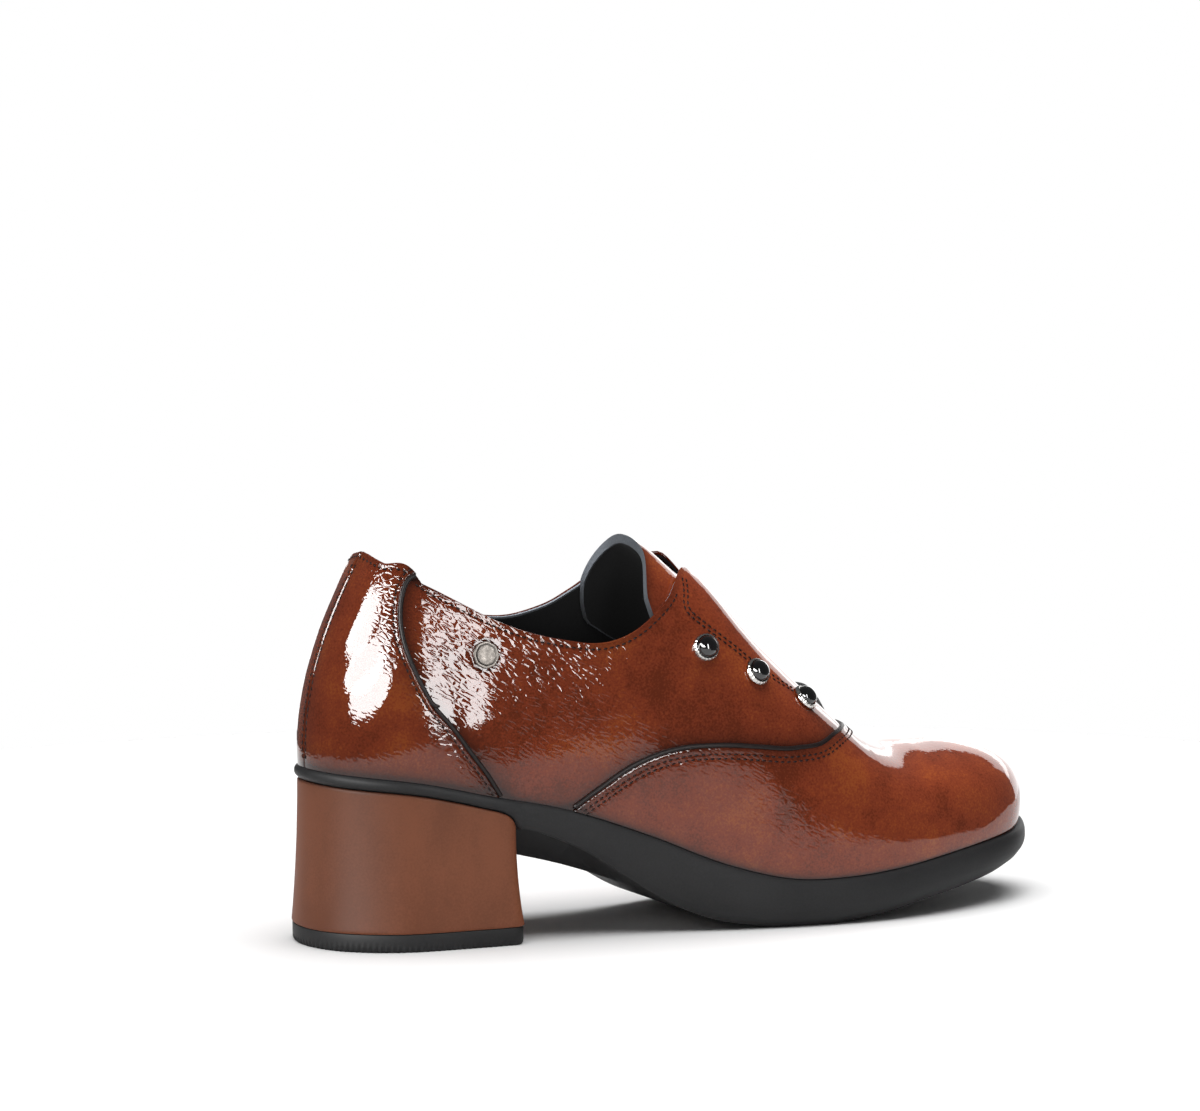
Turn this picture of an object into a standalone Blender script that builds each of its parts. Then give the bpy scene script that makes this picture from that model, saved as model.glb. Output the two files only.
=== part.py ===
"""Slip-on heeled shoe for the right foot: a patent upper with a stud-trimmed throat on a unit sole and block heel.

Everything is worked out from one last. A station runs from 0 at the middle of the heel's back, through 1 and 2 at the
ends of the straight middle, to 3 at the tip of the toe. At each station a rib of the last stands on the feather edge,
where upper and sole meet, and climbs through 90 degrees of rise to the ridge over the middle of the foot.
+X points to the toe, +Y to the shoe's left, its inner side, and +Z up. It stands on z = 0.
"""
import math

import bmesh
import bpy
import numpy as np

MM = 0.001

# Last
SHOE_LENGTH = 256 * MM        # heel to toe along the feather edge's axis
BALL_HALF_WIDTH = 43 * MM     # from the axis to the side at the ball
INSTEP_HEIGHT = 89 * MM       # over the feather edge, at half length
TOE_BOX_HEIGHT = 31 * MM      # over the feather edge, behind the toe
COLLAR_HEIGHT = 65.5 * MM     # over the feather edge, at the back

# Sole and heel
SOLE_THICKNESS = 14.8 * MM    # at the ball
HEEL_RISE = 39.7 * MM         # of the heel seat over the ball's seat
TOE_RISE = 10.2 * MM          # of the toe's seat over the ball's seat
RIM_THICKNESS = 4.2 * MM      # sole over the heel
TOE_SPRING = 16 * MM          # rise of the tread under the tip of the toe
SOLE_MARGIN = 3.2 * MM        # sole outside the feather edge at the toe
TREAD_INSET = 7 * MM          # flat tread inside the sole's side
TOP_LIFT_THICKNESS = 6 * MM
TOP_LIFT_INSET = 0.3 * MM     # of the top lift's side from the heel's foot
HEEL_BREAST = 59 * MM         # from the back of the feather edge to the heel's front, at its top
HEEL_MARGIN = 1.0 * MM        # top of the heel outside the feather edge
HEEL_FLARE = 2.0 * MM         # foot of the heel outside its top
HEEL_CORNER = 4 * MM          # rounded corner between the heel's side and its front

# Upper, insole and tongue
WALL = 1.8 * MM
OVERLAY = 0.9 * MM            # vamp and counter stand this much over the quarters
PIPING = 2.0 * MM             # width of the piped seam beside an overlay
PIPING_STAND = 1.5 * MM       # its height over the quarters
INSOLE_THICKNESS = 2.5 * MM
TONGUE_THICKNESS = 2.6 * MM
TONGUE_CLEARANCE = 0.6 * MM
THROAT_HALF_GAP = 7 * MM      # between the flaps' edges
GORE_BULGE = 3.8 * MM         # of the elastic over the flaps
GORE_THICKNESS = 1.2 * MM
CLEARANCE = 0.3 * MM
SEAT_GAP = 0.45 * MM          # upper over the sole, measured on the last

# Trim
STUD_DIAMETER = 8.7 * MM
STUD_HEIGHT = 2.2 * MM
BEZEL_WALL = 0.8 * MM
STONE_HEIGHT = 1.8 * MM
BADGE_DIAMETER = 8.4 * MM
BADGE_THICKNESS = 1.0 * MM

HEEL_PIVOT = 0.12             # share of the length where the heel's ribs fan out
TOE_PIVOT = 0.85              # and where the toe's do
VAMP_START = 1.25             # station where the vamp seam leaves the sole
VAMP_CLOSED = 1.81            # station from which the vamp covers the whole rib
TONGUE_TOP = 1.385
TONGUE_END = 1.84
TONGUE_SKEW = 0.032           # how much further back the tongue's top edge lies on the inner side than in the middle
HEEL_LEAN = 0.62              # extra narrowing of the ribs round the heel's back, which leans in over the heel bone
GORE_TOP = 1.60
FLAP_CORNER = {-1: 1.500, 1: 1.465}   # station of each flap's top corner, by side
SIDES = (-1, 1)

# Feather edge from the heel's back along the outer side: share of SHOE_LENGTH, share of BALL_HALF_WIDTH
FEATHER = [
    (0.003, 0.00), (0.022, -0.36), (0.080, -0.60), (0.18, -0.66), (0.30, -0.67), (0.42, -0.73),
    (0.53, -0.85), (0.64, -0.93), (0.74, -0.91), (0.84, -0.75), (0.93, -0.46), (0.976, -0.08),
    (0.982, 0.14), (0.962, 0.47), (0.893, 0.77), (0.80, 0.92), (0.70, 0.93), (0.60, 0.80),
    (0.50, 0.60), (0.40, 0.48), (0.30, 0.50), (0.18, 0.60), (0.080, 0.58), (0.022, 0.36),
]

# Rows are shares of SHOE_LENGTH along the shoe. Columns:
SHARE, HEEL_PART, TOE_PART, INSTEP_PART, BOX_PART, NARROWING, BULGE, CENTRE = range(8)
# HEEL_PART and TOE_PART of HEEL_RISE and TOE_RISE lift the feather edge; INSTEP_PART and BOX_PART of the two heights
# lift the ridge over it; a rib narrows towards its top by NARROWING and swells by BULGE times BALL_HALF_WIDTH;
# CENTRE times BALL_HALF_WIDTH is where the ridge lies.
SECTIONS = [
    (0.00, 1.000, 0.00, 0.900, 0.00, 0.15, 0.105, 0.00),
    (0.10, 0.925, 0.00, 0.933, 0.00, 0.13, 0.105, -0.01),
    (0.20, 0.781, 0.00, 1.008, 0.00, 0.06, 0.116, -0.02),
    (0.30, 0.635, 0.00, 1.050, 0.00, -0.08, 0.128, -0.03),
    (0.40, 0.408, 0.00, 1.050, 0.00, -0.28, 0.128, -0.03),
    (0.50, 0.144, 0.00, 1.000, 0.00, -0.40, 0.116, -0.03),
    (0.58, 0.013, 0.00, 0.800, 0.07, -0.42, 0.093, -0.02),
    (0.66, 0.000, 0.00, 0.490, 0.35, -0.36, 0.093, 0.00),
    (0.72, 0.000, 0.12, 0.200, 0.73, -0.28, 0.116, 0.03),
    (0.76, 0.000, 0.24, 0.050, 0.96, -0.24, 0.128, 0.06),
    (0.82, 0.000, 0.44, 0.000, 0.99, -0.22, 0.128, 0.09),
    (0.88, 0.000, 0.60, 0.000, 0.92, -0.22, 0.116, 0.12),
    (0.94, 0.000, 0.76, 0.000, 0.82, -0.24, 0.116, 0.12),
    (1.00, 0.000, 1.00, 0.000, 0.71, -0.24, 0.116, 0.12),
]

# Top edge of the quarters over the feather edge: station, outer side, inner side, in shares of COLLAR_HEIGHT
COLLAR = [
    (0.00, 1.000, 1.000), (0.57, 0.980, 0.980), (0.98, 0.943, 0.943), (1.06, 0.876, 0.893),
    (1.12, 0.826, 0.850), (1.19, 0.794, 0.825), (1.25, 0.800, 0.860), (1.29, 0.821, 0.922),
    (1.32, 0.857, 0.982), (1.36, 0.938, 1.090), (1.40, 1.055, 1.206), (1.43, 1.160, 1.288),
    (1.465, 1.305, 1.383), (1.50, 1.385, 1.40),
]

# Vamp seam: station, degrees of rise up the rib
VAMP_SEAM = [
    (1.25, 0.0), (1.303, 6.0), (1.350, 11.3), (1.400, 16.0), (1.447, 19.7), (1.493, 22.7),
    (1.567, 27.7), (1.643, 34.7), (1.693, 42.0), (1.723, 49.7), (1.760, 61.0), (1.790, 74.0), (1.81, 90.0),
]

# Counter seam: share of the way up the rib to the collar, station
COUNTER_SEAM = [
    (0.00, 1.115), (0.10, 1.090), (0.17, 1.067), (0.28, 1.030), (0.37, 0.963), (0.50, 0.833),
    (0.64, 0.766), (0.77, 0.765), (0.89, 0.820), (1.00, 0.945),
]

# Sole by share of SHOE_LENGTH: thickness over the heel as a share of RIM_THICKNESS; lower edge of the side wall as
# shares of HEEL_RISE and TOE_SPRING; keel under the waist as a share of SOLE_THICKNESS; margin outside the feather
# edge as a share of SOLE_MARGIN
ALONG, SEAT, WAIST_LIFT, TOE_LIFT, KEEL, MARGIN = range(6)
SOLE = [
    (0.00, 1.00, 0.950, 0.00, 0.66, 0.60), (0.19, 1.02, 0.920, 0.00, 0.66, 0.52),
    (0.23, 1.38, 0.897, 0.00, 0.65, 0.50), (0.283, 1.4, 0.791, 0.00, 0.56, 0.50),
    (0.325, 1.4, 0.665, 0.00, 0.43, 0.53), (0.371, 1.4, 0.469, 0.00, 0.18, 0.60),
    (0.40, 1.4, 0.345, 0.00, 0.04, 0.66), (0.442, 1.4, 0.189, 0.00, 0.0, 0.75),
    (0.48, 1.4, 0.091, 0.00, 0.0, 0.84), (0.52, 1.4, 0.038, 0.00, 0.0, 0.92),
    (0.56, 1.4, 0.008, 0.00, 0.0, 0.97), (0.59, 1.4, 0.000, 0.00, 0.0, 1.00), (0.635, 1.4, 0.000, 0.00, 0.0, 1.00),
    (0.66, 1.4, 0.000, 0.055, 0.0, 1.00), (0.70, 1.4, 0.000, 0.12, 0.0, 1.00), (0.73, 1.4, 0.000, 0.20, 0.0, 1.00),
    (0.76, 1.4, 0.000, 0.30, 0.0, 1.00), (0.81, 1.4, 0.000, 0.42, 0.0, 1.00), (0.84, 1.4, 0.000, 0.49, 0.0, 1.00),
    (0.88, 1.4, 0.000, 0.585, 0.0, 1.00), (0.91, 1.4, 0.000, 0.675, 0.0, 1.00),
    (0.94, 1.4, 0.000, 0.78, 0.0, 1.00), (0.97, 1.4, 0.000, 0.875, 0.0, 1.00), (1.00, 1.4, 0.000, 0.97, 0.0, 1.00),
]

# Side of the sole from its top edge down: outward as a share of the margin, down as a share of the side's height
SOLE_SIDE = [(0.0, 0.0), (0.60, 0.04), (0.90, 0.20), (1.0, 0.42), (0.90, 0.66), (0.45, 0.87)]

# Studs on the outer side from the top down: station, degrees of rise. The inner side mirrors them.
STUDS = [(1.487, 46.0), (1.580, 50.5), (1.680, 59.0)]
BADGE_SPOT = (1.097, 28.7)


def smooth(table, column, at):
    """A smooth curve through one column of a table, read at an array of places."""
    table = np.asarray(table, float)
    knots = table[:, 0]
    values = table[:, column]
    at = np.asarray(at, float)
    slopes = np.gradient(values, knots)
    i = np.clip(np.searchsorted(knots, at, side="right") - 1, 0, len(knots) - 2)
    span = knots[i + 1] - knots[i]
    t = np.clip((at - knots[i]) / span, 0, 1)
    start = (2 * t**3 - 3 * t**2 + 1) * values[i] + (t**3 - 2 * t**2 + t) * slopes[i] * span
    end = (3 * t**2 - 2 * t**3) * values[i + 1] + (t**3 - t**2) * slopes[i + 1] * span
    return start + end


def feather_loop(count=720):
    """The closed feather edge in plan as a smooth curve through FEATHER."""
    points = np.array(FEATHER) * [SHOE_LENGTH, BALL_HALF_WIDTH]
    around = np.vstack([points[-4:], points, points[:5]])
    steps = np.sqrt(np.linalg.norm(np.diff(around, axis=0), axis=1))
    knots = np.concatenate([[0], np.cumsum(steps)])
    at = np.linspace(knots[4], knots[4 + len(points)], count, endpoint=False)
    return np.stack([smooth(np.column_stack([knots, around]), k, at) for k in (1, 2)], axis=-1)


def ridge_y(x):
    return smooth(SECTIONS, CENTRE, x / SHOE_LENGTH) * BALL_HALF_WIDTH


def feather_z(x):
    """Height of the sole's top edge."""
    share = x / SHOE_LENGTH
    lift = smooth(SECTIONS, HEEL_PART, share) * HEEL_RISE
    return SOLE_THICKNESS + lift + smooth(SECTIONS, TOE_PART, share) * TOE_RISE


def ridge_z(x):
    share = x / SHOE_LENGTH
    instep = smooth(SECTIONS, INSTEP_PART, share) * INSTEP_HEIGHT
    return feather_z(x) + instep + smooth(SECTIONS, BOX_PART, share) * TOE_BOX_HEIGHT


LOOP = feather_loop()


def foot_of_rib(station, side):
    """Pivot, direction and reach in plan of the ribs at an array of stations."""
    heel = HEEL_PIVOT * SHOE_LENGTH
    toe = TOE_PIVOT * SHOE_LENGTH
    pivot_x = heel + np.clip(station - 1, 0, 1) * (toe - heel)
    pivot = np.stack([pivot_x, ridge_y(pivot_x)], axis=-1)
    quarter = math.pi / 2
    turn = np.select([station < 1, station > 2], [math.pi - station * quarter, (3 - station) * quarter], quarter)
    direction = np.stack([np.cos(turn), side * np.sin(turn)], axis=-1)
    half = LOOP[LOOP[:, 1] * side > 0]
    half = half[np.argsort(half[:, 0])]
    reach = np.abs(np.interp(pivot_x, half[:, 0], half[:, 1]) - pivot[..., 1])
    for fan, x in ((station < 1, heel), (station > 2, toe)):
        arms = LOOP - [x, ridge_y(x)]
        angles = np.arctan2(arms[:, 1], arms[:, 0])
        order = np.argsort(angles)
        lengths = np.hypot(arms[:, 0], arms[:, 1])
        wanted = np.arctan2(direction[..., 1], direction[..., 0])
        polar = np.interp(wanted, angles[order], lengths[order], period=2 * math.pi)
        reach = np.where(fan, polar, reach)
    return pivot, direction, reach


def edge_point(station, side, outward=0.0):
    """Point in plan that lies outward of the feather edge."""
    pivot, direction, reach = foot_of_rib(station, side)
    return pivot + direction * (reach + outward)[..., None]


def rib_curve(station, rise, side):
    """Reach and height of a rib at a rise in radians: an ellipse that narrows and swells on its way up."""
    pivot, direction, reach = foot_of_rib(station, side)
    share = pivot[..., 0] / SHOE_LENGTH
    foot_x = pivot[..., 0] + direction[..., 0] * reach
    base = feather_z(foot_x) + SEAT_GAP
    climb = np.sin(rise)
    behind = np.clip((1 - station) / 0.85, 0, 1)
    lean = HEEL_LEAN * behind**2 * (3 - 2 * behind)
    narrowing = (smooth(SECTIONS, NARROWING, share) + lean) * climb**2
    bulge = smooth(SECTIONS, BULGE, share) * BALL_HALF_WIDTH * climb
    outward = np.cos(rise) * (reach * (1 - narrowing) + bulge)
    return outward, base + (ridge_z(pivot[..., 0]) - base) * climb


def last_surface(station, rise, side, stand=0.0):
    """Points of the last, moved outwards by stand along the rib's own normal."""
    station, rise, stand = np.broadcast_arrays(station, rise, stand)
    outward, height = rib_curve(station, rise, side)
    step = 1e-4
    outward_next, height_next = rib_curve(station, rise - step, side)
    run = outward_next - outward
    drop = height - height_next
    size = np.hypot(run, drop)
    pivot, direction, _ = foot_of_rib(station, side)
    slope = (ridge_z(pivot[..., 0] + MM) - ridge_z(pivot[..., 0] - MM)) / (2 * MM)
    stand = stand * (1 + (np.sqrt(1 + slope**2) - 1) * np.sin(rise) ** 2)
    outward = outward + stand * drop / size
    height = height + stand * run / size
    plan = pivot + direction * outward[..., None]
    return np.concatenate([plan, height[..., None]], axis=-1)


def rise_at_height(station, side, over_feather):
    """Rise at which a rib is a given height over the feather edge."""
    pivot, direction, reach = foot_of_rib(station, side)
    base = feather_z(pivot[..., 0] + direction[..., 0] * reach)
    return np.arcsin(np.clip(over_feather / (ridge_z(pivot[..., 0]) - base), 0, 1))


def rise_at_reach(station, side, outward):
    """Rise at which a rib comes back to a given distance from the ridge."""
    low = np.full(np.shape(station), math.radians(30))
    high = np.full(np.shape(station), math.pi / 2)
    for _ in range(40):
        middle = (low + high) / 2
        beyond = rib_curve(station, middle, side)[0] > outward
        low = np.where(beyond, middle, low)
        high = np.where(beyond, high, middle)
    return high


def top_rise(station, side):
    """Rise of the upper's free edge: the collar, and past the flap's corner the edge of the throat."""
    collar = smooth(COLLAR, 1 if side < 0 else 2, station) * COLLAR_HEIGHT
    throat = rise_at_reach(station, side, THROAT_HALF_GAP)
    rise = np.minimum(rise_at_height(station, side, collar), throat)
    return np.where(station < FLAP_CORNER[side], rise, throat)


def seam_rise(station):
    """Rise of the vamp's upper edge, 0 behind it and 90 degrees where the vamp covers the rib."""
    return np.radians(np.clip(smooth(VAMP_SEAM, 1, station), 0, 90))


def station_after(station, distance):
    """Station a distance further round the feather edge."""
    fan = HEEL_PIVOT * SHOE_LENGTH * math.pi / 2
    ends = np.cumsum([0, fan, (TOE_PIVOT - HEEL_PIVOT) * SHOE_LENGTH, fan])
    run = np.interp(station, range(4), ends)
    return np.interp(run + distance, ends, range(4))


def upper_grid(side):
    """Stations, rises and stands of one side of the upper, a row for each height and a column for each rib."""
    levels = np.array([0.0, 0.12, 0.27, 0.43, 0.60, 0.76, 0.90, 1.0])
    crest = np.array([0.15, 0.85, 1.0])
    seam = smooth(COUNTER_SEAM, 1, levels)[:, None]
    counter = seam * np.linspace(0, 1, 10)
    piping = station_after(seam, PIPING * crest)
    quarter = piping[:, -1:] + (VAMP_START - piping[:, -1:]) * np.linspace(0, 1, 5)[1:-1]
    corner = FLAP_CORNER[side]
    front = np.concatenate([
        np.linspace(VAMP_START, corner, 9)[:-1], np.linspace(corner, 1.74, 7)[:-1],
        np.linspace(1.74, VAMP_CLOSED, 5)[:-1], np.linspace(VAMP_CLOSED, 2, 4)[:-1], np.linspace(2, 3, 10)])
    rear = np.hstack([counter, piping, quarter])
    station = np.hstack([rear, np.tile(front, (len(levels), 1))])
    rear_stand = np.concatenate([np.full(10, OVERLAY), [PIPING_STAND, PIPING_STAND, 0], np.zeros(3)])
    rear_stand = np.concatenate([rear_stand, np.zeros(len(front))])

    vamp_levels = np.linspace(0, 1, 8)
    low_station = np.tile(station[0], (len(vamp_levels) + 3, 1))
    under_vamp = (low_station >= VAMP_START) & (low_station < VAMP_CLOSED)
    closed = low_station >= VAMP_CLOSED
    edge = seam_rise(low_station[0])
    outward, height = rib_curve(low_station[0], edge, side)
    outward_next, height_next = rib_curve(low_station[0], edge - 0.01, side)
    turn = 0.01 / np.hypot(outward - outward_next, height - height_next)
    bead = np.minimum(edge + turn * PIPING * crest[:, None], math.pi / 2)
    low_rise = np.vstack([edge * vamp_levels[:, None], np.where(under_vamp[:3], bead, edge)])
    low_stand = np.vstack([np.full((len(vamp_levels), station.shape[1]), OVERLAY),
                           np.outer([PIPING_STAND, PIPING_STAND, 0], np.ones(station.shape[1]))])
    low_stand = np.where(under_vamp, low_stand, np.where(closed, OVERLAY, rear_stand))

    start = low_rise[-1]
    top = np.maximum(top_rise(station, side), start)
    high_rise = start + (top - start) * levels[:, None]
    closed = station >= VAMP_CLOSED
    high_rise = np.where(closed, math.pi / 2, high_rise)
    high_stand = np.where(closed, OVERLAY, rear_stand)
    return (np.vstack([low_station, station[1:]]), np.vstack([low_rise, high_rise[1:]]),
            np.vstack([low_stand, high_stand[1:]]))


def shell(name, outer, inner, ring, met=None):
    """A closed wall between two grids of points; ring joins the last column to the first.

    The top edge has no rim between columns where met is true, because the wall meets its other half there.
    """
    rows, columns = outer.shape[:2]
    verts = np.concatenate([outer.reshape(-1, 3), inner.reshape(-1, 3)])
    index = np.arange(rows * columns).reshape(rows, columns)
    if ring:
        index = np.hstack([index, index[:, :1]])
    inside = index + rows * columns
    faces = []
    for sheet, flip in ((index, False), (inside, True)):
        quads = np.stack([sheet[:-1, :-1], sheet[:-1, 1:], sheet[1:, 1:], sheet[1:, :-1]], axis=-1).reshape(-1, 4)
        faces.extend(quads[:, ::-1].tolist() if flip else quads.tolist())
    faces.extend(rim_faces(index[0], inside[0]))
    top = rim_faces(index[-1][::-1], inside[-1][::-1])[::-1]
    if met is not None:
        met = np.append(met, met[0])
        top = [face for face, seal in zip(top, met[:-1] & met[1:]) if not seal]
    faces.extend(top)
    if not ring:
        faces.extend(rim_faces(index[::-1, 0], inside[::-1, 0]))
        faces.extend(rim_faces(index[:, -1], inside[:, -1]))
    return solid(name, verts.tolist(), faces)


def rim_faces(outside, within):
    """Faces between the edges of two sheets."""
    return np.stack([outside[1:], outside[:-1], within[:-1], within[1:]], axis=-1).tolist()


def decked(name, levels):
    """A closed solid of levels from the bottom up, each an array [side, station, xyz], decked across the shoe."""
    loops = [np.concatenate([level[0], level[1][::-1]]) for level in levels]
    count = len(loops[0])
    index = np.arange(len(loops) * count).reshape(len(loops), count)
    wrapped = np.hstack([index, index[:, :1]])
    side = np.stack([wrapped[:-1, :-1], wrapped[:-1, 1:], wrapped[1:, 1:], wrapped[1:, :-1]], axis=-1)
    faces = side.reshape(-1, 4).tolist()
    for loop, flip in ((index[0], True), (index[-1], False)):
        outer_side = loop[:count // 2]
        inner_side = loop[::-1][:count // 2]
        strips = np.stack([outer_side[:-1], outer_side[1:], inner_side[1:], inner_side[:-1]], axis=-1)
        faces.extend(strips[:, ::-1].tolist() if flip else strips.tolist())
    return solid(name, np.concatenate(loops).tolist(), faces)


def solid(name, verts, faces):
    """An object from points and faces, welded where they meet and turned outwards."""
    mesh = bpy.data.meshes.new(name)
    work = bmesh.new()
    corners = [work.verts.new(point) for point in verts]
    for face in faces:
        work.faces.new([corners[k] for k in dict.fromkeys(face)])
    bmesh.ops.remove_doubles(work, verts=work.verts, dist=0.002 * MM)
    bmesh.ops.dissolve_degenerate(work, edges=work.edges, dist=0.002 * MM)
    bmesh.ops.triangulate(work, faces=[face for face in work.faces if len(face.verts) > 3])
    bmesh.ops.recalc_face_normals(work, faces=work.faces)
    work.to_mesh(mesh)
    work.free()
    mesh.shade_smooth()
    mesh.set_sharp_from_angle(angle=math.radians(35))
    item = bpy.data.objects.new(name, mesh)
    bpy.context.scene.collection.objects.link(item)
    return item


def finish(item, colour, roughness, metallic=0.0, coat=0.0):
    """Gives a piece its own material; colour is an sRGB hex value."""
    material = bpy.data.materials.new(item.name)
    material.use_nodes = True
    shader = material.node_tree.nodes["Principled BSDF"]
    srgb = [int(colour[k:k + 2], 16) / 255 for k in (1, 3, 5)]
    linear = [c / 12.92 if c <= 0.04045 else ((c + 0.055) / 1.055) ** 2.4 for c in srgb]
    shader.inputs["Base Color"].default_value = (*linear, 1)
    shader.inputs["Roughness"].default_value = roughness
    shader.inputs["Metallic"].default_value = metallic
    shader.inputs["Coat Weight"].default_value = coat
    item.data.materials.append(material)


def make_upper():
    """One wall with the vamp, the counter and their piped seams standing out of it."""
    outer = []
    inner = []
    covered = []
    for side in SIDES:
        station, rise, stand = upper_grid(side)
        turn = slice(None) if side < 0 else slice(None, None, -1)
        outer.append(last_surface(station, rise, side, stand)[:, turn])
        inner.append(last_surface(station, rise, side, -WALL)[:, turn])
        covered.append(station[-1, turn] >= VAMP_CLOSED)
    item = shell("upper", np.hstack(outer), np.hstack(inner), True, np.concatenate(covered))
    finish(item, "#7d3413", 0.12, coat=1.0)


def flare(height_share):
    """How far the heel's side stands out below its top."""
    return HEEL_FLARE * (1 - height_share) ** 2


def breast_station():
    """Station where the sole steps down in front of the heel."""
    wall = HEEL_BREAST + CLEARANCE + flare(0.5)
    return 1 + (wall / SHOE_LENGTH - HEEL_PIVOT) / (TOE_PIVOT - HEEL_PIVOT)


def tread_z(share):
    """Height of the sole's underside in front of the heel, flat on the floor under the ball."""
    lift = smooth(SOLE, WAIST_LIFT, share) * HEEL_RISE + smooth(SOLE, TOE_LIFT, share) * TOE_SPRING
    return np.maximum(lift, 0)


def make_outsole():
    """Rim over the heel, keeled waist and rounded forefoot, with a flat tread under the ball."""
    step = breast_station()
    seat = np.concatenate([np.linspace(0, 1, 9)[:-1], np.linspace(1, step, 5)])
    front = np.concatenate([np.linspace(step, 2, 20)[:-1], np.linspace(2, 3, 13)])
    station = np.concatenate([seat, front])
    over_heel = np.arange(len(station)) < len(seat)
    sides = []
    for side in SIDES:
        plan = edge_point(station, side)
        share = plan[:, 0] / SHOE_LENGTH
        top = feather_z(plan[:, 0])
        rim = smooth(SOLE, SEAT, share) * RIM_THICKNESS
        low = np.where(over_heel, top - rim, tread_z(share))
        margin = smooth(SOLE, MARGIN, share) * SOLE_MARGIN
        rings = []
        for out, down in SOLE_SIDE:
            ring = edge_point(station, side, out * margin)
            rings.append(np.column_stack([ring, top - down * (top - low)]))
        pivot, direction, reach = foot_of_rib(station, side)
        for inset, keeled in ((0.25 * TREAD_INSET, 0.0), (TREAD_INSET, 0.0), (reach * 0.6, 1.0)):
            ring = pivot + direction * (reach - inset)[..., None]
            along = ring[:, 0] / SHOE_LENGTH
            keel = np.maximum(smooth(SOLE, KEEL, along), 0) * SOLE_THICKNESS * keeled
            under = feather_z(ring[:, 0]) - smooth(SOLE, SEAT, along) * RIM_THICKNESS
            rings.append(np.column_stack([ring, np.where(over_heel, under, tread_z(along) - keel)]))
        sides.append(rings[::-1])
    levels = [np.stack([sides[0][k], sides[1][k]]) for k in range(len(sides[0]))]
    item = decked("outsole", levels)
    finish(item, "#2b2b2c", 0.55)


def heel_plan(side, outward, front):
    """Outline in plan of one side of the heel, out to a flat front with a rounded corner."""
    corner_x = front - HEEL_CORNER
    last = 1 + (corner_x / SHOE_LENGTH - HEEL_PIVOT) / (TOE_PIVOT - HEEL_PIVOT)
    station = np.concatenate([np.linspace(0, 1, 9)[:-1], np.linspace(1, last, 4)])
    plan = edge_point(station, side, outward)
    angles = np.radians([22.5, 45, 67.5, 90])
    swing = np.stack([np.sin(angles), side * (np.cos(angles) - 1)], axis=-1)
    return np.concatenate([plan, plan[-1] + swing * HEEL_CORNER])


def heel_level(height_share, foot, inset=0.0):
    """One level of the heel between the plane z = foot and the underside of the sole's rim."""
    out = HEEL_MARGIN + flare(height_share) - inset
    front = HEEL_BREAST + flare(height_share) - inset
    plan = np.stack([heel_plan(side, out, front) for side in SIDES])
    share = plan[..., 0] / SHOE_LENGTH
    under = feather_z(plan[..., 0]) - smooth(SOLE, SEAT, share) * RIM_THICKNESS - CLEARANCE
    height = foot + (under - foot) * height_share
    return np.concatenate([plan, height[..., None]], axis=-1)


def make_heel():
    foot = TOP_LIFT_THICKNESS + CLEARANCE
    heel = decked("heel", [heel_level(share, foot) for share in np.linspace(0, 1, 7)])
    finish(heel, "#7c5140", 0.5)
    edge = 0.5 * MM
    lift = []
    for inset, height in ((edge, 0), (0, edge), (0, TOP_LIFT_THICKNESS)):
        level = heel_level(0, 0, TOP_LIFT_INSET + inset)
        level[..., 2] = height
        lift.append(level)
    lift = decked("top_lift", lift)
    finish(lift, "#262626", 0.6)


def make_insole():
    station = np.concatenate([np.linspace(0, 1, 8)[:-1], np.linspace(1, 2, 16)[:-1], np.linspace(2, 3, 9)])
    levels = []
    for height in (CLEARANCE, CLEARANCE + INSOLE_THICKNESS):
        rows = []
        for side in SIDES:
            foot = edge_point(station, side)
            plan = edge_point(station, side, -WALL - 2 * CLEARANCE)
            rows.append(np.column_stack([plan, feather_z(foot[:, 0]) + height]))
        levels.append(np.stack(rows))
    item = decked("insole", levels)
    finish(item, "#1b1c22", 0.8)


def make_tongue():
    """An arched sheet along the instep, inside the flaps and out past the collar."""
    station = np.concatenate([TONGUE_TOP + np.array([0, 0.008, 0.02]), np.linspace(1.43, TONGUE_END, 14)])
    wing = np.radians(np.interp(station, TONGUE_TOP + np.array([0, 0.008, 0.02, 0.06]), [54, 46, 42, 41]))
    fade = (TONGUE_END - station) / (TONGUE_END - TONGUE_TOP)
    across = np.linspace(0, 1, 9)
    depth = WALL + TONGUE_CLEARANCE
    sheets = []
    for stand in (-depth, -depth - TONGUE_THICKNESS):
        halves = []
        for side in SIDES:
            rise = wing + (math.pi / 2 - wing) * across[:, None]
            slant = TONGUE_SKEW * side * np.cos(rise) * fade
            half = last_surface(station - slant, rise, side, stand)
            halves.append(half if side < 0 else half[::-1][1:])
        sheets.append(np.concatenate(halves))
    item = shell("tongue", sheets[0], sheets[1], False)
    finish(item, "#6e2f14", 0.15, coat=1.0)


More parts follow.
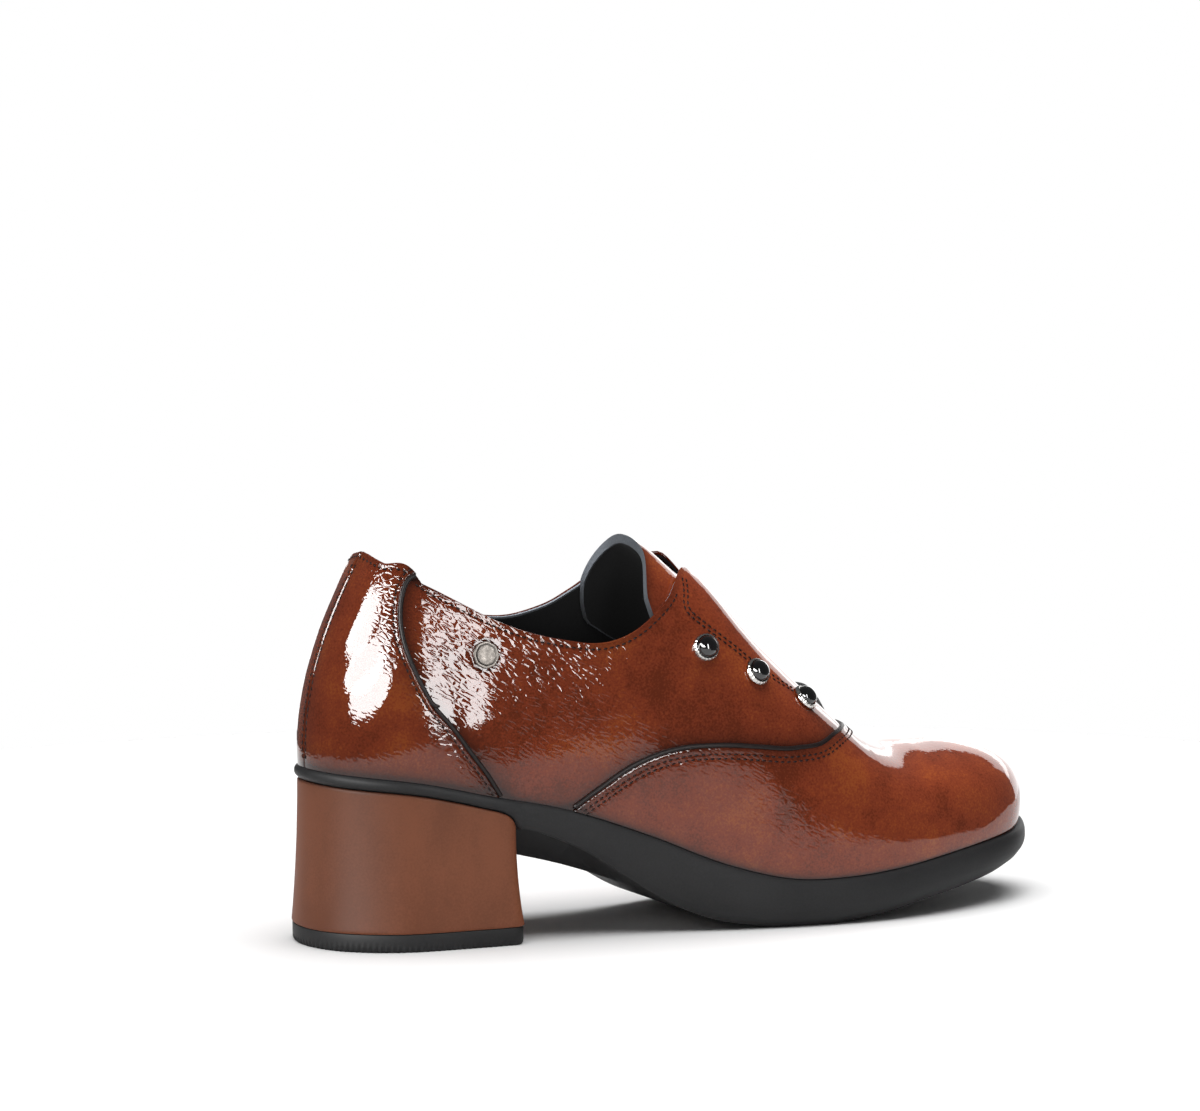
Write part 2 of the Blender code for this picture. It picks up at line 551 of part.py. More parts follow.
def make_gore():
    """Elastic between the flaps, over the tongue, swelling out of the throat's lower end."""
    end = 1.785
    station = np.linspace(GORE_TOP, end, 13)
    across = np.linspace(-1, 1, 9)
    reach = np.abs(across)[:, None] * (THROAT_HALF_GAP - 2 * CLEARANCE) + 0 * station
    down = np.clip((station - GORE_TOP) / (end - GORE_TOP) / 0.7 - 3 / 7, 0, 1)
    swell = np.sin(math.pi * 0.9 * down**1.3)
    back = -(WALL + TONGUE_CLEARANCE - CLEARANCE)
    front = back + GORE_THICKNESS + (GORE_BULGE - back - GORE_THICKNESS) * (1 - across[:, None] ** 2) * swell
    outer = []
    inner = []
    for k, place in enumerate(across):
        side = -1 if place < 0 else 1
        rise = rise_at_reach(station, side, reach[k])
        outer.append(last_surface(station, rise, side, front[k]))
        inner.append(last_surface(station, rise, side, back))
    item = shell("elastic_gore", np.array(outer), np.array(inner), False)
    finish(item, "#15151a", 0.7)


def turned(name, place, profile, count=12):
    """A profile of radius and height turned about the last's normal at a place."""
    station, rise, side = place
    step = 0.004
    at = [last_surface(np.array([station + a]), np.array([rise + b]), side)[0]
          for a, b in ((0, 0), (step, 0), (-step, 0), (0, step), (0, -step))]
    normal = np.cross(at[1] - at[2], at[3] - at[4]) * -side
    normal /= np.linalg.norm(normal)
    along = at[1] - at[2]
    along /= np.linalg.norm(along)
    across = np.cross(normal, along)
    angles = np.arange(count) * 2 * math.pi / count
    spokes = np.outer(np.cos(angles), along) + np.outer(np.sin(angles), across)
    verts = []
    for radius, height in profile:
        verts.append(at[0] + spokes * radius + normal * height)
    index = np.arange(len(profile) * count).reshape(len(profile), count)
    index = np.hstack([index, index[:, :1]])
    faces = np.stack([index[:-1, :-1], index[:-1, 1:], index[1:, 1:], index[1:, :-1]], axis=-1).reshape(-1, 4)
    return solid(name, np.concatenate(verts).tolist(), faces.tolist())


def make_studs():
    """A domed black stone in a bright bezel at each place, down both flaps."""
    radius = STUD_DIAMETER / 2
    seat = 2 * CLEARANCE
    floor = seat + 0.5 * MM
    rim = seat + STUD_HEIGHT
    bezel = [(0, seat), (radius - 0.3 * MM, seat), (radius, seat + 0.5 * MM), (radius, rim - 0.5 * MM),
             (radius - 0.4 * MM, rim), (radius - BEZEL_WALL, rim), (radius - BEZEL_WALL, floor), (0, floor)]
    stone_radius = radius - BEZEL_WALL - CLEARANCE
    base = floor + CLEARANCE
    stone = [(0, base), (stone_radius, base), (stone_radius, rim)]
    for angle in np.radians([25, 50, 75]):
        stone.append((stone_radius * math.cos(angle), rim + STONE_HEIGHT * math.sin(angle)))
    stone.append((0, rim + STONE_HEIGHT))
    for side, word in ((-1, "outer"), (1, "inner")):
        for number, (station, degrees) in enumerate(STUDS, 1):
            place = (station, math.radians(degrees), side)
            finish(turned(f"stud_bezel_{word}_{number}", place, bezel), "#c9ccd0", 0.12, 1.0)
            finish(turned(f"stud_stone_{word}_{number}", place, stone), "#07080a", 0.05)


def make_badge():
    radius = BADGE_DIAMETER / 2
    seat = 2 * CLEARANCE
    top = seat + BADGE_THICKNESS
    dish = 0.35 * MM
    profile = [(0, seat), (radius, seat), (radius, top - 0.25 * MM), (radius - 0.25 * MM, top),
               (radius - 0.9 * MM, top), (radius - 1.1 * MM, top - dish), (0, top - dish)]
    station, degrees = BADGE_SPOT
    finish(turned("badge", (station, math.radians(degrees), -1), profile, 16), "#b9bbbd", 0.25, 1.0)


def centre_on_floor():
    """Moves every mesh so that the middle of the shoe's box stands over the origin."""
    meshes = [item.data for item in bpy.context.scene.objects]
    corners = np.concatenate([[vertex.co for vertex in mesh.vertices] for mesh in meshes])
    low = corners.min(axis=0)
    high = corners.max(axis=0)
    middle = (low + high) / 2
    for mesh in meshes:
        for vertex in mesh.vertices:
            vertex.co.x -= middle[0]
            vertex.co.y -= middle[1]
            vertex.co.z -= low[2]


for item in list(bpy.data.objects):
    bpy.data.objects.remove(item, do_unlink=True)

make_outsole()
make_heel()
make_upper()
make_insole()
make_tongue()
make_gore()
make_studs()
make_badge()
centre_on_floor()
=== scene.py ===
"""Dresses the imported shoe: patent leather panels, piping, stitching, lining, studs, sole and heel, and its studio.

The shapes are worked out on the same last as the solids. A station runs from 0 at the middle of the heel's back,
through 1 and 2 at the ends of the straight middle, to 3 at the tip of the toe. At each station a rib climbs from the
feather edge through 90 degrees of rise to the ridge over the foot. Side -1 is the outer side of the foot, 1 the inner.
"""
import math

import bpy
import numpy as np
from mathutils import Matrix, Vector


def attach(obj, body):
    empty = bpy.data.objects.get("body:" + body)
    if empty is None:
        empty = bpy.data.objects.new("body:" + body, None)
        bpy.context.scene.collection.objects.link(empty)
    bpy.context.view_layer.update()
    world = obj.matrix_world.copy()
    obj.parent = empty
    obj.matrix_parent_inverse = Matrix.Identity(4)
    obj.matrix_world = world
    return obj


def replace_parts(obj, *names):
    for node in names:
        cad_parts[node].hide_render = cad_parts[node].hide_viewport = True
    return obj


bl_info = {
    "name": "Heeled slip-on shoe",
    "version": (1, 0, 0),
    "blender": (4, 5, 0),
    "location": "3D View > Sidebar > Shoe",
    "description": "Makes a patent slip-on shoe with a block heel around its CAD frame",
    "category": "Object",
}

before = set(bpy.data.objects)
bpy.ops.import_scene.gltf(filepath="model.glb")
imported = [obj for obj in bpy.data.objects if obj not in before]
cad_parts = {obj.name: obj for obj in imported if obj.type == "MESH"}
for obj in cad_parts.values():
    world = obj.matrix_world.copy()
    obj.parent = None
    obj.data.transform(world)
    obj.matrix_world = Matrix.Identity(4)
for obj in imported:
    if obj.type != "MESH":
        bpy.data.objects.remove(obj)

MM = 0.001
SIDES = (-1, 1)

# Last, in the same named sizes as the solids
SHOE_LENGTH = 256 * MM
BALL_HALF_WIDTH = 43 * MM
INSTEP_HEIGHT = 89 * MM
TOE_BOX_HEIGHT = 31 * MM
COLLAR_HEIGHT = 65.5 * MM
SOLE_THICKNESS = 14.8 * MM
HEEL_RISE = 39.7 * MM
TOE_RISE = 10.2 * MM
RIM_THICKNESS = 4.2 * MM
TOE_SPRING = 16 * MM
SOLE_MARGIN = 3.2 * MM
TREAD_INSET = 7 * MM
TOP_LIFT_THICKNESS = 5.6 * MM
TOP_LIFT_INSET = 0.3 * MM
HEEL_BREAST = 59 * MM
HEEL_MARGIN = 1.0 * MM
HEEL_FLARE = 2.0 * MM
HEEL_CORNER = 4 * MM
WALL = 1.8 * MM
OVERLAY = 0.9 * MM
INSOLE_THICKNESS = 2.5 * MM
TONGUE_THICKNESS = 2.6 * MM
TONGUE_CLEARANCE = 0.6 * MM
THROAT_HALF_GAP = 7 * MM
GORE_BULGE = 4.6 * MM
GORE_THICKNESS = 1.2 * MM
CLEARANCE = 0.3 * MM
SEAT_GAP = 0.45 * MM
STUD_DIAMETER = 8.7 * MM
BADGE_DIAMETER = 8.4 * MM

# Pivots of the ribs' fans as shares of the length, and stations of the upper's parts
HEEL_PIVOT = 0.12
TOE_PIVOT = 0.85
VAMP_START = 1.25
VAMP_CLOSED = 1.81
TONGUE_TOP = 1.385
TONGUE_END = 1.84
TONGUE_SKEW = 0.026               # stations that the outer wing reaches further to the toe
TONGUE_CURL = 2.5 * MM
HEEL_LEAN = 0.62                  # share by which the back narrows towards the collar
GORE_TOP = 1.60
GORE_END = 1.806
FLAP_CORNER = {-1: 1.500, 1: 1.490}
FLAP_SPRING = {-1: 1.3 * MM, 1: 4.8 * MM}
ORIGIN = np.array([126.227, 0.164, 0.0]) * MM   # the row frame's origin in the last's own axes
TONGUE_FACE = 1.1 * MM            # patent sheet of the tongue; the rest of its thickness is suede
TONGUE_SHIFT = 0.022              # stations that the tongue's crown stands further to the toe than its wings
CURL_END = 1.475                  # station where the curl of the tongue's end has died away
FLAP_REACH = 0.075                # stations over which a flap's spring fades
CORNER_CUT = math.radians(5)      # rise taken off a flap's corner
CORNER_WIDTH = 0.012              # stations either side that the cut reaches
GORE_SWELL_START = 1.70           # station where the elastic begins to swell
STATION_MM = 187                  # millimetres of the straight middle in one station

# Rows of stitches, as distances from their edges
VAMP_ROWS = (2.1 * MM, 3.5 * MM)
FLAP_ROWS = (0.0, 1.4 * MM)
COUNTER_ROW = 1.5 * MM
COLLAR_ROW = 2.0 * MM
BACK_ROW = 1.2 * MM

# Feather edge in plan: shares of SHOE_LENGTH and BALL_HALF_WIDTH
FEATHER = [
    (0.003, 0.00), (0.022, -0.36), (0.080, -0.60), (0.18, -0.66), (0.30, -0.67), (0.42, -0.73),
    (0.53, -0.85), (0.64, -0.93), (0.74, -0.91), (0.84, -0.75), (0.93, -0.46), (0.976, -0.08),
    (0.982, 0.14), (0.962, 0.47), (0.893, 0.77), (0.80, 0.92), (0.70, 0.93), (0.60, 0.80),
    (0.50, 0.60), (0.40, 0.48), (0.30, 0.50), (0.18, 0.60), (0.080, 0.58), (0.022, 0.36),
]

# Rows are shares of SHOE_LENGTH; the columns are as in the solids' own table
SHARE, HEEL_PART, TOE_PART, INSTEP_PART, BOX_PART, NARROWING, BULGE, CENTRE = range(8)
SECTIONS = [
    (0, 1, 0, 0.9, 0, 0.15, 0.105, 0),
    (0.1, 0.925, 0, 0.933, 0, 0.13, 0.105, -0.01),
    (0.2, 0.781, 0, 1.008, 0, 0.06, 0.116, -0.02),
    (0.3, 0.635, 0, 1.05, 0, -0.08, 0.128, -0.03),
    (0.4, 0.408, 0, 1.05, 0, -0.28, 0.128, -0.03),
    (0.5, 0.144, 0, 1, 0, -0.4, 0.116, -0.03),
    (0.58, 0.013, 0, 0.8, 0.07, -0.42, 0.093, -0.02),
    (0.66, 0, 0, 0.49, 0.35, -0.36, 0.093, 0),
    (0.72, 0, 0.12, 0.2, 0.73, -0.28, 0.116, 0.03),
    (0.76, 0, 0.24, 0.05, 0.96, -0.24, 0.128, 0.06),
    (0.82, 0, 0.44, 0, 0.99, -0.22, 0.128, 0.09),
    (0.88, 0, 0.6, 0, 0.92, -0.22, 0.116, 0.12),
    (0.94, 0, 0.76, 0, 0.82, -0.24, 0.116, 0.12),
    (1, 0, 1, 0, 0.71, -0.24, 0.116, 0.12),
]
# Station, and the collar's height on the outer and the inner side as shares of COLLAR_HEIGHT
COLLAR = [
    (0.00, 1.000, 1.000), (0.57, 0.980, 0.980), (0.98, 0.943, 0.943), (1.06, 0.876, 0.893),
    (1.12, 0.826, 0.850), (1.19, 0.794, 0.825), (1.25, 0.800, 0.860), (1.29, 0.821, 0.922),
    (1.32, 0.857, 0.982), (1.36, 0.938, 1.090), (1.40, 1.055, 1.206), (1.43, 1.160, 1.250),
    (1.465, 1.305, 1.320), (1.50, 1.385, 1.395),
]
# Station and rise in degrees
VAMP_SEAM = [
    (1.25, 0.0), (1.303, 6.0), (1.350, 11.3), (1.400, 16.0), (1.447, 19.7), (1.493, 22.7),
    (1.567, 27.7), (1.643, 34.7), (1.693, 42.0), (1.723, 49.7), (1.760, 61.0), (1.790, 74.0), (1.81, 90.0),
]
# Share of the way up to the collar, and station
COUNTER_SEAM = [
    (0.00, 1.115), (0.10, 1.090), (0.17, 1.067), (0.28, 1.030), (0.37, 0.963), (0.50, 0.833),
    (0.64, 0.766), (0.77, 0.765), (0.89, 0.820), (1.00, 0.945),
]
ALONG, SEAT, WAIST_LIFT, TOE_LIFT, KEEL, MARGIN = range(6)
SOLE = [
    (0.00, 1.00, 0.950, 0, 0.66, 0.60), (0.19, 1.02, 0.920, 0, 0.66, 0.52), (0.205, 1.06, 0.912, 0, 0.66, 0.51),
    (0.215, 1.18, 0.906, 0, 0.655, 0.505), (0.223, 1.45, 0.901, 0, 0.65, 0.50), (0.23, 1.95, 0.897, 0, 0.65, 0.50),
    (0.283, 1.95, 0.791, 0, 0.56, 0.50), (0.325, 1.95, 0.665, 0, 0.43, 0.53), (0.371, 1.95, 0.469, 0, 0.18, 0.60),
    (0.40, 1.95, 0.345, 0, 0.04, 0.66), (0.442, 1.95, 0.189, 0, 0, 0.75), (0.48, 1.95, 0.091, 0, 0, 0.84),
    (0.52, 1.95, 0.038, 0, 0, 0.92), (0.56, 1.95, 0.008, 0, 0, 0.97),
    *((share, 1.95, 0, lift, 0, 1) for share, lift in (
        (0.59, 0), (0.635, 0), (0.66, 0.055), (0.70, 0.12), (0.73, 0.2), (0.76, 0.3), (0.81, 0.42), (0.84, 0.49),
        (0.88, 0.585), (0.91, 0.675), (0.94, 0.78), (0.97, 0.875), (1.00, 0.97))),
]
# Out as a share of the margin, and down as a share of the sole's height
SOLE_SIDE = [(0.0, 0.0), (0.60, 0.04), (0.90, 0.20), (1.0, 0.42), (0.90, 0.66), (0.45, 0.87)]
# Stations and rises in degrees
STUDS = [(1.487, 46.0), (1.580, 50.5), (1.680, 59.0)]
BADGE_SPOT = (1.097, 28.7)
FLAP_STITCH = [(1.480, 68.0), (1.474, 62.0), (1.468, 55.8), (1.490, 54.0), (1.522, 53.2), (1.557, 53.5),
               (1.587, 54.4), (1.630, 57.0), (1.665, 60.0), (1.690, 63.0)]

# Profiles of small parts in millimetres: out from the radius, and height
STUD_CUP = [(-0.3, 0), (0, 0.15), (0.10, 0.4), (0.05, 0.7), (-0.06, 1.05), (-0.2, 1.4), (-0.42, 1.62), (-0.7, 1.6),
            (-0.86, 1.3), (-0.86, 0.6)]
BADGE_RIM = [(-0.2, 0), (0, 0.25), (0, 0.6), (-0.15, 0.88), (-0.45, 1.0), (-0.8, 0.95), (-1.05, 0.72), (-1.4, 0.66)]
BADGE_HOLLOW = [0, 0, 0.2, 0.1, 0, 0, 0.2, 1.0, 0.7, 0.35, 0.3]     # how dark each ring of the badge is
TOP_LIFT_LEVELS = [     # height, inset and depth of the notches, in millimetres
    (0, 0.5, 0.35), (0.3, 0.25, 0.35), (0.8, 0.05, 0.35), (1.5, 0, 0.25), (2.0, 0, 0), (3.6, 0, 0), (5.2, 0, 0),
    (5.45, 0.08, 0), (5.6, 0.35, 0),
]
NOTCH_PITCH = 1.7 * MM
STITCH_SHARE = 0.78     # share of the pitch that a stitch fills


def smooth(table, column, at):
    """A smooth curve through one column of a table, read at an array of places: cubic between the knots."""
    table = np.asarray(table, float)
    knots = table[:, 0]
    values = table[:, column]
    at = np.asarray(at, float)
    slopes = np.gradient(values, knots)
    i = np.clip(np.searchsorted(knots, at, side="right") - 1, 0, len(knots) - 2)
    span = knots[i + 1] - knots[i]
    t = np.clip((at - knots[i]) / span, 0, 1)
    start = (2 * t**3 - 3 * t**2 + 1) * values[i] + (t**3 - 2 * t**2 + t) * slopes[i] * span
    end = (3 * t**2 - 2 * t**3) * values[i + 1] + (t**3 - t**2) * slopes[i + 1] * span
    return start + end


def ease(low, high, at):
    """0 below low, 1 above high, and a smooth step between them."""
    t = np.clip((at - low) / (high - low), 0, 1)
    return t * t * (3 - 2 * t)


def bell(offset, width):
    """A bell of height 1: the exponential of minus the square of the offset over the width."""
    return np.exp(-(offset / width) ** 2)


def unit(vectors):
    """Vectors scaled to length 1."""
    return vectors / np.linalg.norm(vectors, axis=-1, keepdims=True)


def feather_loop(count=6000):
    """The closed feather edge in plan as a smooth curve through FEATHER."""
    points = np.array(FEATHER) * [SHOE_LENGTH, BALL_HALF_WIDTH]
    looped = np.vstack([points[-4:], points, points[:5]])
    steps = np.sqrt(np.linalg.norm(np.diff(looped, axis=0), axis=1))
    knots = np.concatenate([[0], np.cumsum(steps)])
    at = np.linspace(knots[4], knots[4 + len(points)], count, endpoint=False)
    return np.stack([smooth(np.column_stack([knots, looped]), k, at) for k in (1, 2)], axis=-1)


def ridge_y(x):
    """Sideways place of the ridge over the foot: a share of the ball's half width, read off SECTIONS."""
    return smooth(SECTIONS, CENTRE, x / SHOE_LENGTH) * BALL_HALF_WIDTH


def feather_z(x):
    """Height of the sole's top edge: its thickness, plus shares of the heel's and the toe's rise."""
    share = x / SHOE_LENGTH
    lift = smooth(SECTIONS, HEEL_PART, share) * HEEL_RISE
    return SOLE_THICKNESS + lift + smooth(SECTIONS, TOE_PART, share) * TOE_RISE


def ridge_z(x):
    """Height of the ridge: the feather edge's, plus shares of the instep's and the toe box's heights."""
    share = x / SHOE_LENGTH
    instep = smooth(SECTIONS, INSTEP_PART, share) * INSTEP_HEIGHT
    return feather_z(x) + instep + smooth(SECTIONS, BOX_PART, share) * TOE_BOX_HEIGHT


LOOP = feather_loop()


def foot_of_rib(station, side):
    """Pivot, direction and reach in plan of the ribs at an array of stations."""
    heel = HEEL_PIVOT * SHOE_LENGTH
    toe = TOE_PIVOT * SHOE_LENGTH
    pivot_x = heel + np.clip(station - 1, 0, 1) * (toe - heel)
    pivot = np.stack([pivot_x, ridge_y(pivot_x)], axis=-1)
    quarter = math.pi / 2
    turn = np.select([station < 1, station > 2], [math.pi - station * quarter, (3 - station) * quarter], quarter)
    direction = np.stack([np.cos(turn), side * np.sin(turn)], axis=-1)
    half = LOOP[LOOP[:, 1] * side > 0]
    half = half[np.argsort(half[:, 0])]
    reach = np.abs(np.interp(pivot_x, half[:, 0], half[:, 1]) - pivot[..., 1])
    for fan, x in ((station < 1, heel), (station > 2, toe)):
        arms = LOOP - [x, ridge_y(x)]
        angles = np.arctan2(arms[:, 1], arms[:, 0])
        order = np.argsort(angles)
        lengths = np.hypot(arms[:, 0], arms[:, 1])
        wanted = np.arctan2(direction[..., 1], direction[..., 0])
        polar = np.interp(wanted, angles[order], lengths[order], period=2 * math.pi)
        reach = np.where(fan, polar, reach)
    return pivot, direction, reach


def edge_point(station, side, outward=0.0):
    """Point in plan that lies outward of the feather edge."""
    pivot, direction, reach = foot_of_rib(station, side)
    return pivot + direction * (reach + outward)[..., None]


def rib_curve(station, rise, side):
    """Reach and height of a rib at a rise in radians: an ellipse that narrows and swells on its way up."""
    pivot, direction, reach = foot_of_rib(station, side)
    share = pivot[..., 0] / SHOE_LENGTH
    base = feather_z(pivot[..., 0] + direction[..., 0] * reach) + SEAT_GAP
    climb = np.sin(rise)
    lean = HEEL_LEAN * ease(0, 0.85, 1 - station)
    narrowing = (smooth(SECTIONS, NARROWING, share) + lean) * climb**2
    bulge = smooth(SECTIONS, BULGE, share) * BALL_HALF_WIDTH * climb
    outward = np.cos(rise) * (reach * (1 - narrowing) + bulge)
    return outward, base + (ridge_z(pivot[..., 0]) - base) * climb


def flap_spring(station, rise, side):
    """How far a flap's corner stands off the tongue: a bell along the foot, eased in up the flap."""
    along = bell(station - FLAP_CORNER[side], FLAP_REACH)
    return FLAP_SPRING[side] * along * ease(math.radians(46), math.radians(80), rise)


def last_surface(station, rise, side, stand=0.0):
    """Points of the last, moved outwards by stand along the rib's own normal, in the row frame.

    Whatever stands above the tongue follows the spring of the flaps. The stand grows with the ridge's slope, so that
    a sheet is as thick there as on the sides.
    """
    station, rise, stand = np.broadcast_arrays(station, rise, stand)
    stand = stand + flap_spring(station, rise, side) * (stand > -WALL - CLEARANCE)
    outward, height = rib_curve(station, rise, side)
    step = 1e-4
    outward_below, height_below = rib_curve(station, rise - step, side)
    run = outward_below - outward
    drop = height - height_below
    size = np.hypot(run, drop)
    pivot, direction, _ = foot_of_rib(station, side)
    slope = (ridge_z(pivot[..., 0] + MM) - ridge_z(pivot[..., 0] - MM)) / (2 * MM)
    stand = stand * (1 + (np.sqrt(1 + slope**2) - 1) * np.sin(rise) ** 2)
    plan = pivot + direction * (outward + stand * drop / size)[..., None]
    return np.concatenate([plan, (height + stand * run / size)[..., None]], axis=-1) - ORIGIN


FAN = HEEL_PIVOT * SHOE_LENGTH * math.pi / 2
STATION_ENDS = np.cumsum([0, FAN, (TOE_PIVOT - HEEL_PIVOT) * SHOE_LENGTH, FAN])    # run round the feather edge


def station_after(station, distance):
    """Station a distance further round the feather edge."""
    return np.interp(np.interp(station, range(4), STATION_ENDS) + distance, STATION_ENDS, range(4))


def counter_station(share):
    """Station of the counter seam at shares of the way up: smooth in the run round the feather edge."""
    knots = np.array(COUNTER_SEAM)
    runs = np.column_stack([knots[:, 0], np.interp(knots[:, 1], range(4), STATION_ENDS)])
    return np.interp(smooth(runs, 1, share), STATION_ENDS, range(4))


def station_at(x):
    """Station of a place along the straight middle of the feather edge."""
    return 1 + (x / SHOE_LENGTH - HEEL_PIVOT) / (TOE_PIVOT - HEEL_PIVOT)


def rise_at_height(station, side, over_feather):
    """Rise at which a rib is a given height over the feather edge."""
    pivot, direction, reach = foot_of_rib(station, side)
    base = feather_z(pivot[..., 0] + direction[..., 0] * reach)
    return np.arcsin(np.clip(over_feather / (ridge_z(pivot[..., 0]) - base), 0, 1))


def rise_at_reach(station, side, outward):
    """Rise at which a rib comes back to a given distance from the ridge, by halving."""
    low = np.full(np.shape(station), math.radians(30))
    high = np.full(np.shape(station), math.pi / 2)
    for _ in range(40):
        middle = (low + high) / 2
        beyond = rib_curve(station, middle, side)[0] > outward
        low = np.where(beyond, middle, low)
        high = np.where(beyond, high, middle)
    return high


def top_rise(station, side):
    """Rise of the upper's free edge: the collar, and past the flap's corner the edge of the throat.

    A narrow bell takes the point off the corner.
    """
    collar = smooth(COLLAR, 1 if side < 0 else 2, station) * COLLAR_HEIGHT
    throat = rise_at_reach(station, side, THROAT_HALF_GAP)
    rise = np.minimum(rise_at_height(station, side, collar), throat)
    past = station - FLAP_CORNER[side]
    return np.where(past < 0, rise, throat) - CORNER_CUT * bell(past, CORNER_WIDTH)


def seam_rise(station):
    """Rise of the vamp's upper edge, 0 behind it and 90 degrees where the vamp covers the rib."""
    return np.radians(np.clip(smooth(VAMP_SEAM, 1, station), 0, 90))


def steps_on(station, rise, side, step):
    """Central differences of the last's points: along the stations, and up the rise."""
    along = last_surface(station + step, rise, side) - last_surface(station - step, rise, side)
    return along, last_surface(station, rise + step, side) - last_surface(station, rise - step, side)


def normal_at(station, rise, side):
    """Unit normal of the last, pointing out: the cross product of its two central differences."""
    normal = np.cross(*steps_on(station, rise, side, 2e-3)) * -side
    return normal / np.maximum(np.linalg.norm(normal, axis=-1, keepdims=True), 1e-12)


def beside(station, rise, side, distance):
    """A line on the last at a distance to one side of a line given by its stations and rises.

    The step across the line is solved from the last's two tangents, so the distance is real millimetres.
    """
    step = 1e-3
    along, up = (both / (2 * step) for both in steps_on(station, rise, side, step))
    run = unit(np.gradient(last_surface(station, rise, side), axis=0))
    across = np.cross(normal_at(station, rise, side), run) * -side
    a, b, c = (along * along).sum(-1), (along * up).sum(-1), (up * up).sum(-1)
    p, q = (across * along).sum(-1), (across * up).sum(-1)
    area = a * c - b * b
    return station + distance * (c * p - b * q) / area, rise + distance * (a * q - b * p) / area


def gap_to(path, points):
    """Distance from each point of a grid to the nearest point of a finely sampled line."""
    flat = points.reshape(-1, 3)
    gaps = [np.sqrt(((block[:, None] - path[None]) ** 2).sum(-1).min(1)) for block in np.array_split(flat, 40)]
    return np.concatenate(gaps).reshape(points.shape[:-1])


def ripple(points, length, seed):
    """A smooth uneven swell between -1 and 1 with waves of about the given length: a sum of turned sines."""
    draw = np.random.default_rng(seed)
    total = 0
    for _ in range(7):
        way = draw.normal(size=3)
        way *= 2 * math.pi / length / np.linalg.norm(way) * draw.uniform(0.6, 1.5)
        total = total + np.sin(points @ way + draw.uniform(0, 6.28))
    return total / 7


# Meshes


def grid_faces(index):
    """Two triangles for each cell of a grid of point numbers."""
    a, b, c, d = index[:-1, :-1], index[:-1, 1:], index[1:, 1:], index[1:, :-1]
    return np.concatenate([np.stack([a, b, c], -1).reshape(-1, 3), np.stack([a, c, d], -1).reshape(-1, 3)])


def ring_faces(rows, columns):
    """Faces of a grid of points whose last column joins the first."""
    index = np.arange(rows * columns).reshape(rows, columns)
    return grid_faces(np.hstack([index, index[:, :1]]))


WELD = 2e-6     # points nearer than this are one


def make_piece(name, verts, faces, material, values=None, sharp=40.0, rim=None):
    """A welded closed mesh at the origin that rides on the shoe's one body.

    Points that coincide are joined, faces that vanish are dropped, and if the volume comes out negative all faces are
    turned. values are numbers per point, kept as attributes; rim is a second material, and the first face that has it.
    """
    verts = np.asarray(verts, float).reshape(-1, 3)
    _, first, back = np.unique(np.round(verts / WELD).astype(np.int64), axis=0, return_index=True, return_inverse=True)
    verts = verts[first]
    faces = back.reshape(-1)[faces]
    whole = (faces[:, 0] != faces[:, 1]) & (faces[:, 1] != faces[:, 2]) & (faces[:, 2] != faces[:, 0])
    faces = faces[whole]
    a, b, c = (verts[faces[:, k]] for k in range(3))
    if (a * np.cross(b, c)).sum() < 0:
        faces = faces[:, ::-1]
    mesh = bpy.data.meshes.new(name)
    mesh.vertices.add(len(verts))
    mesh.vertices.foreach_set("co", verts.ravel())
    mesh.loops.add(faces.size)
    mesh.loops.foreach_set("vertex_index", faces.ravel())
    mesh.polygons.add(len(faces))
    mesh.polygons.foreach_set("loop_start", np.arange(len(faces)) * 3)
    mesh.update(calc_edges=True)
    for key, numbers in (values or {}).items():
        layer = mesh.attributes.new(key, "FLOAT", "POINT")
        layer.data.foreach_set("value", np.asarray(numbers, float).reshape(-1)[first])
    mesh.shade_smooth()
    mesh.set_sharp_from_angle(angle=math.radians(sharp))
    mesh.materials.append(material)
    if rim is not None:
        mesh.materials.append(rim[0])
        mesh.polygons.foreach_set("material_index", (np.flatnonzero(whole) >= rim[1]).astype(int))
    item = bpy.data.objects.new(name, mesh)
    bpy.context.scene.collection.objects.link(item)
    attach(item, "root")
    return item


def shell(name, outer, inner, material, ring=False, met=None, values=None, rim=None):
    """A closed sheet between two grids of points: both grids and the rims between their free edges.

    ring joins the last column to the first. met marks top-row points where the sheet meets its other half, so that no
    rim stands there.
    """
    rows, columns = outer.shape[:2]
    index = np.arange(rows * columns).reshape(rows, columns)
    if ring:
        index = np.hstack([index, index[:, :1]])
    inside = index + rows * columns
    faces = [grid_faces(index), grid_faces(inside)[:, ::-1]]
    count = sum(map(len, faces))
    faces.append(grid_faces(np.stack([inside[0], index[0]])))
    top = grid_faces(np.stack([index[-1], inside[-1]]))
    if met is not None:
        both = np.append(met, met[0]) if ring else met
        free = ~(both[:-1] & both[1:])
        top = top[np.concatenate([free, free])]
    faces.append(top)
    if not ring:
        faces.append(grid_faces(np.stack([index[:, 0], inside[:, 0]])))
        faces.append(grid_faces(np.stack([inside[:, -1], index[:, -1]])))
    verts = np.concatenate([outer.reshape(-1, 3), inner.reshape(-1, 3)])
    doubled = {key: np.concatenate([v.ravel(), v.ravel()]) for key, v in (values or {}).items()}
    return make_piece(name, verts, np.concatenate(faces), material, doubled, rim=None if rim is None else (rim, count))


def halves(outer_side, inner_side, toe=False):
    """Joins the grids of both sides in one: through the heel's back, or through the toe."""
    if toe:
        return np.concatenate([outer_side, inner_side[:, ::-1]], axis=1)
    return np.concatenate([outer_side[:, ::-1], inner_side], axis=1)


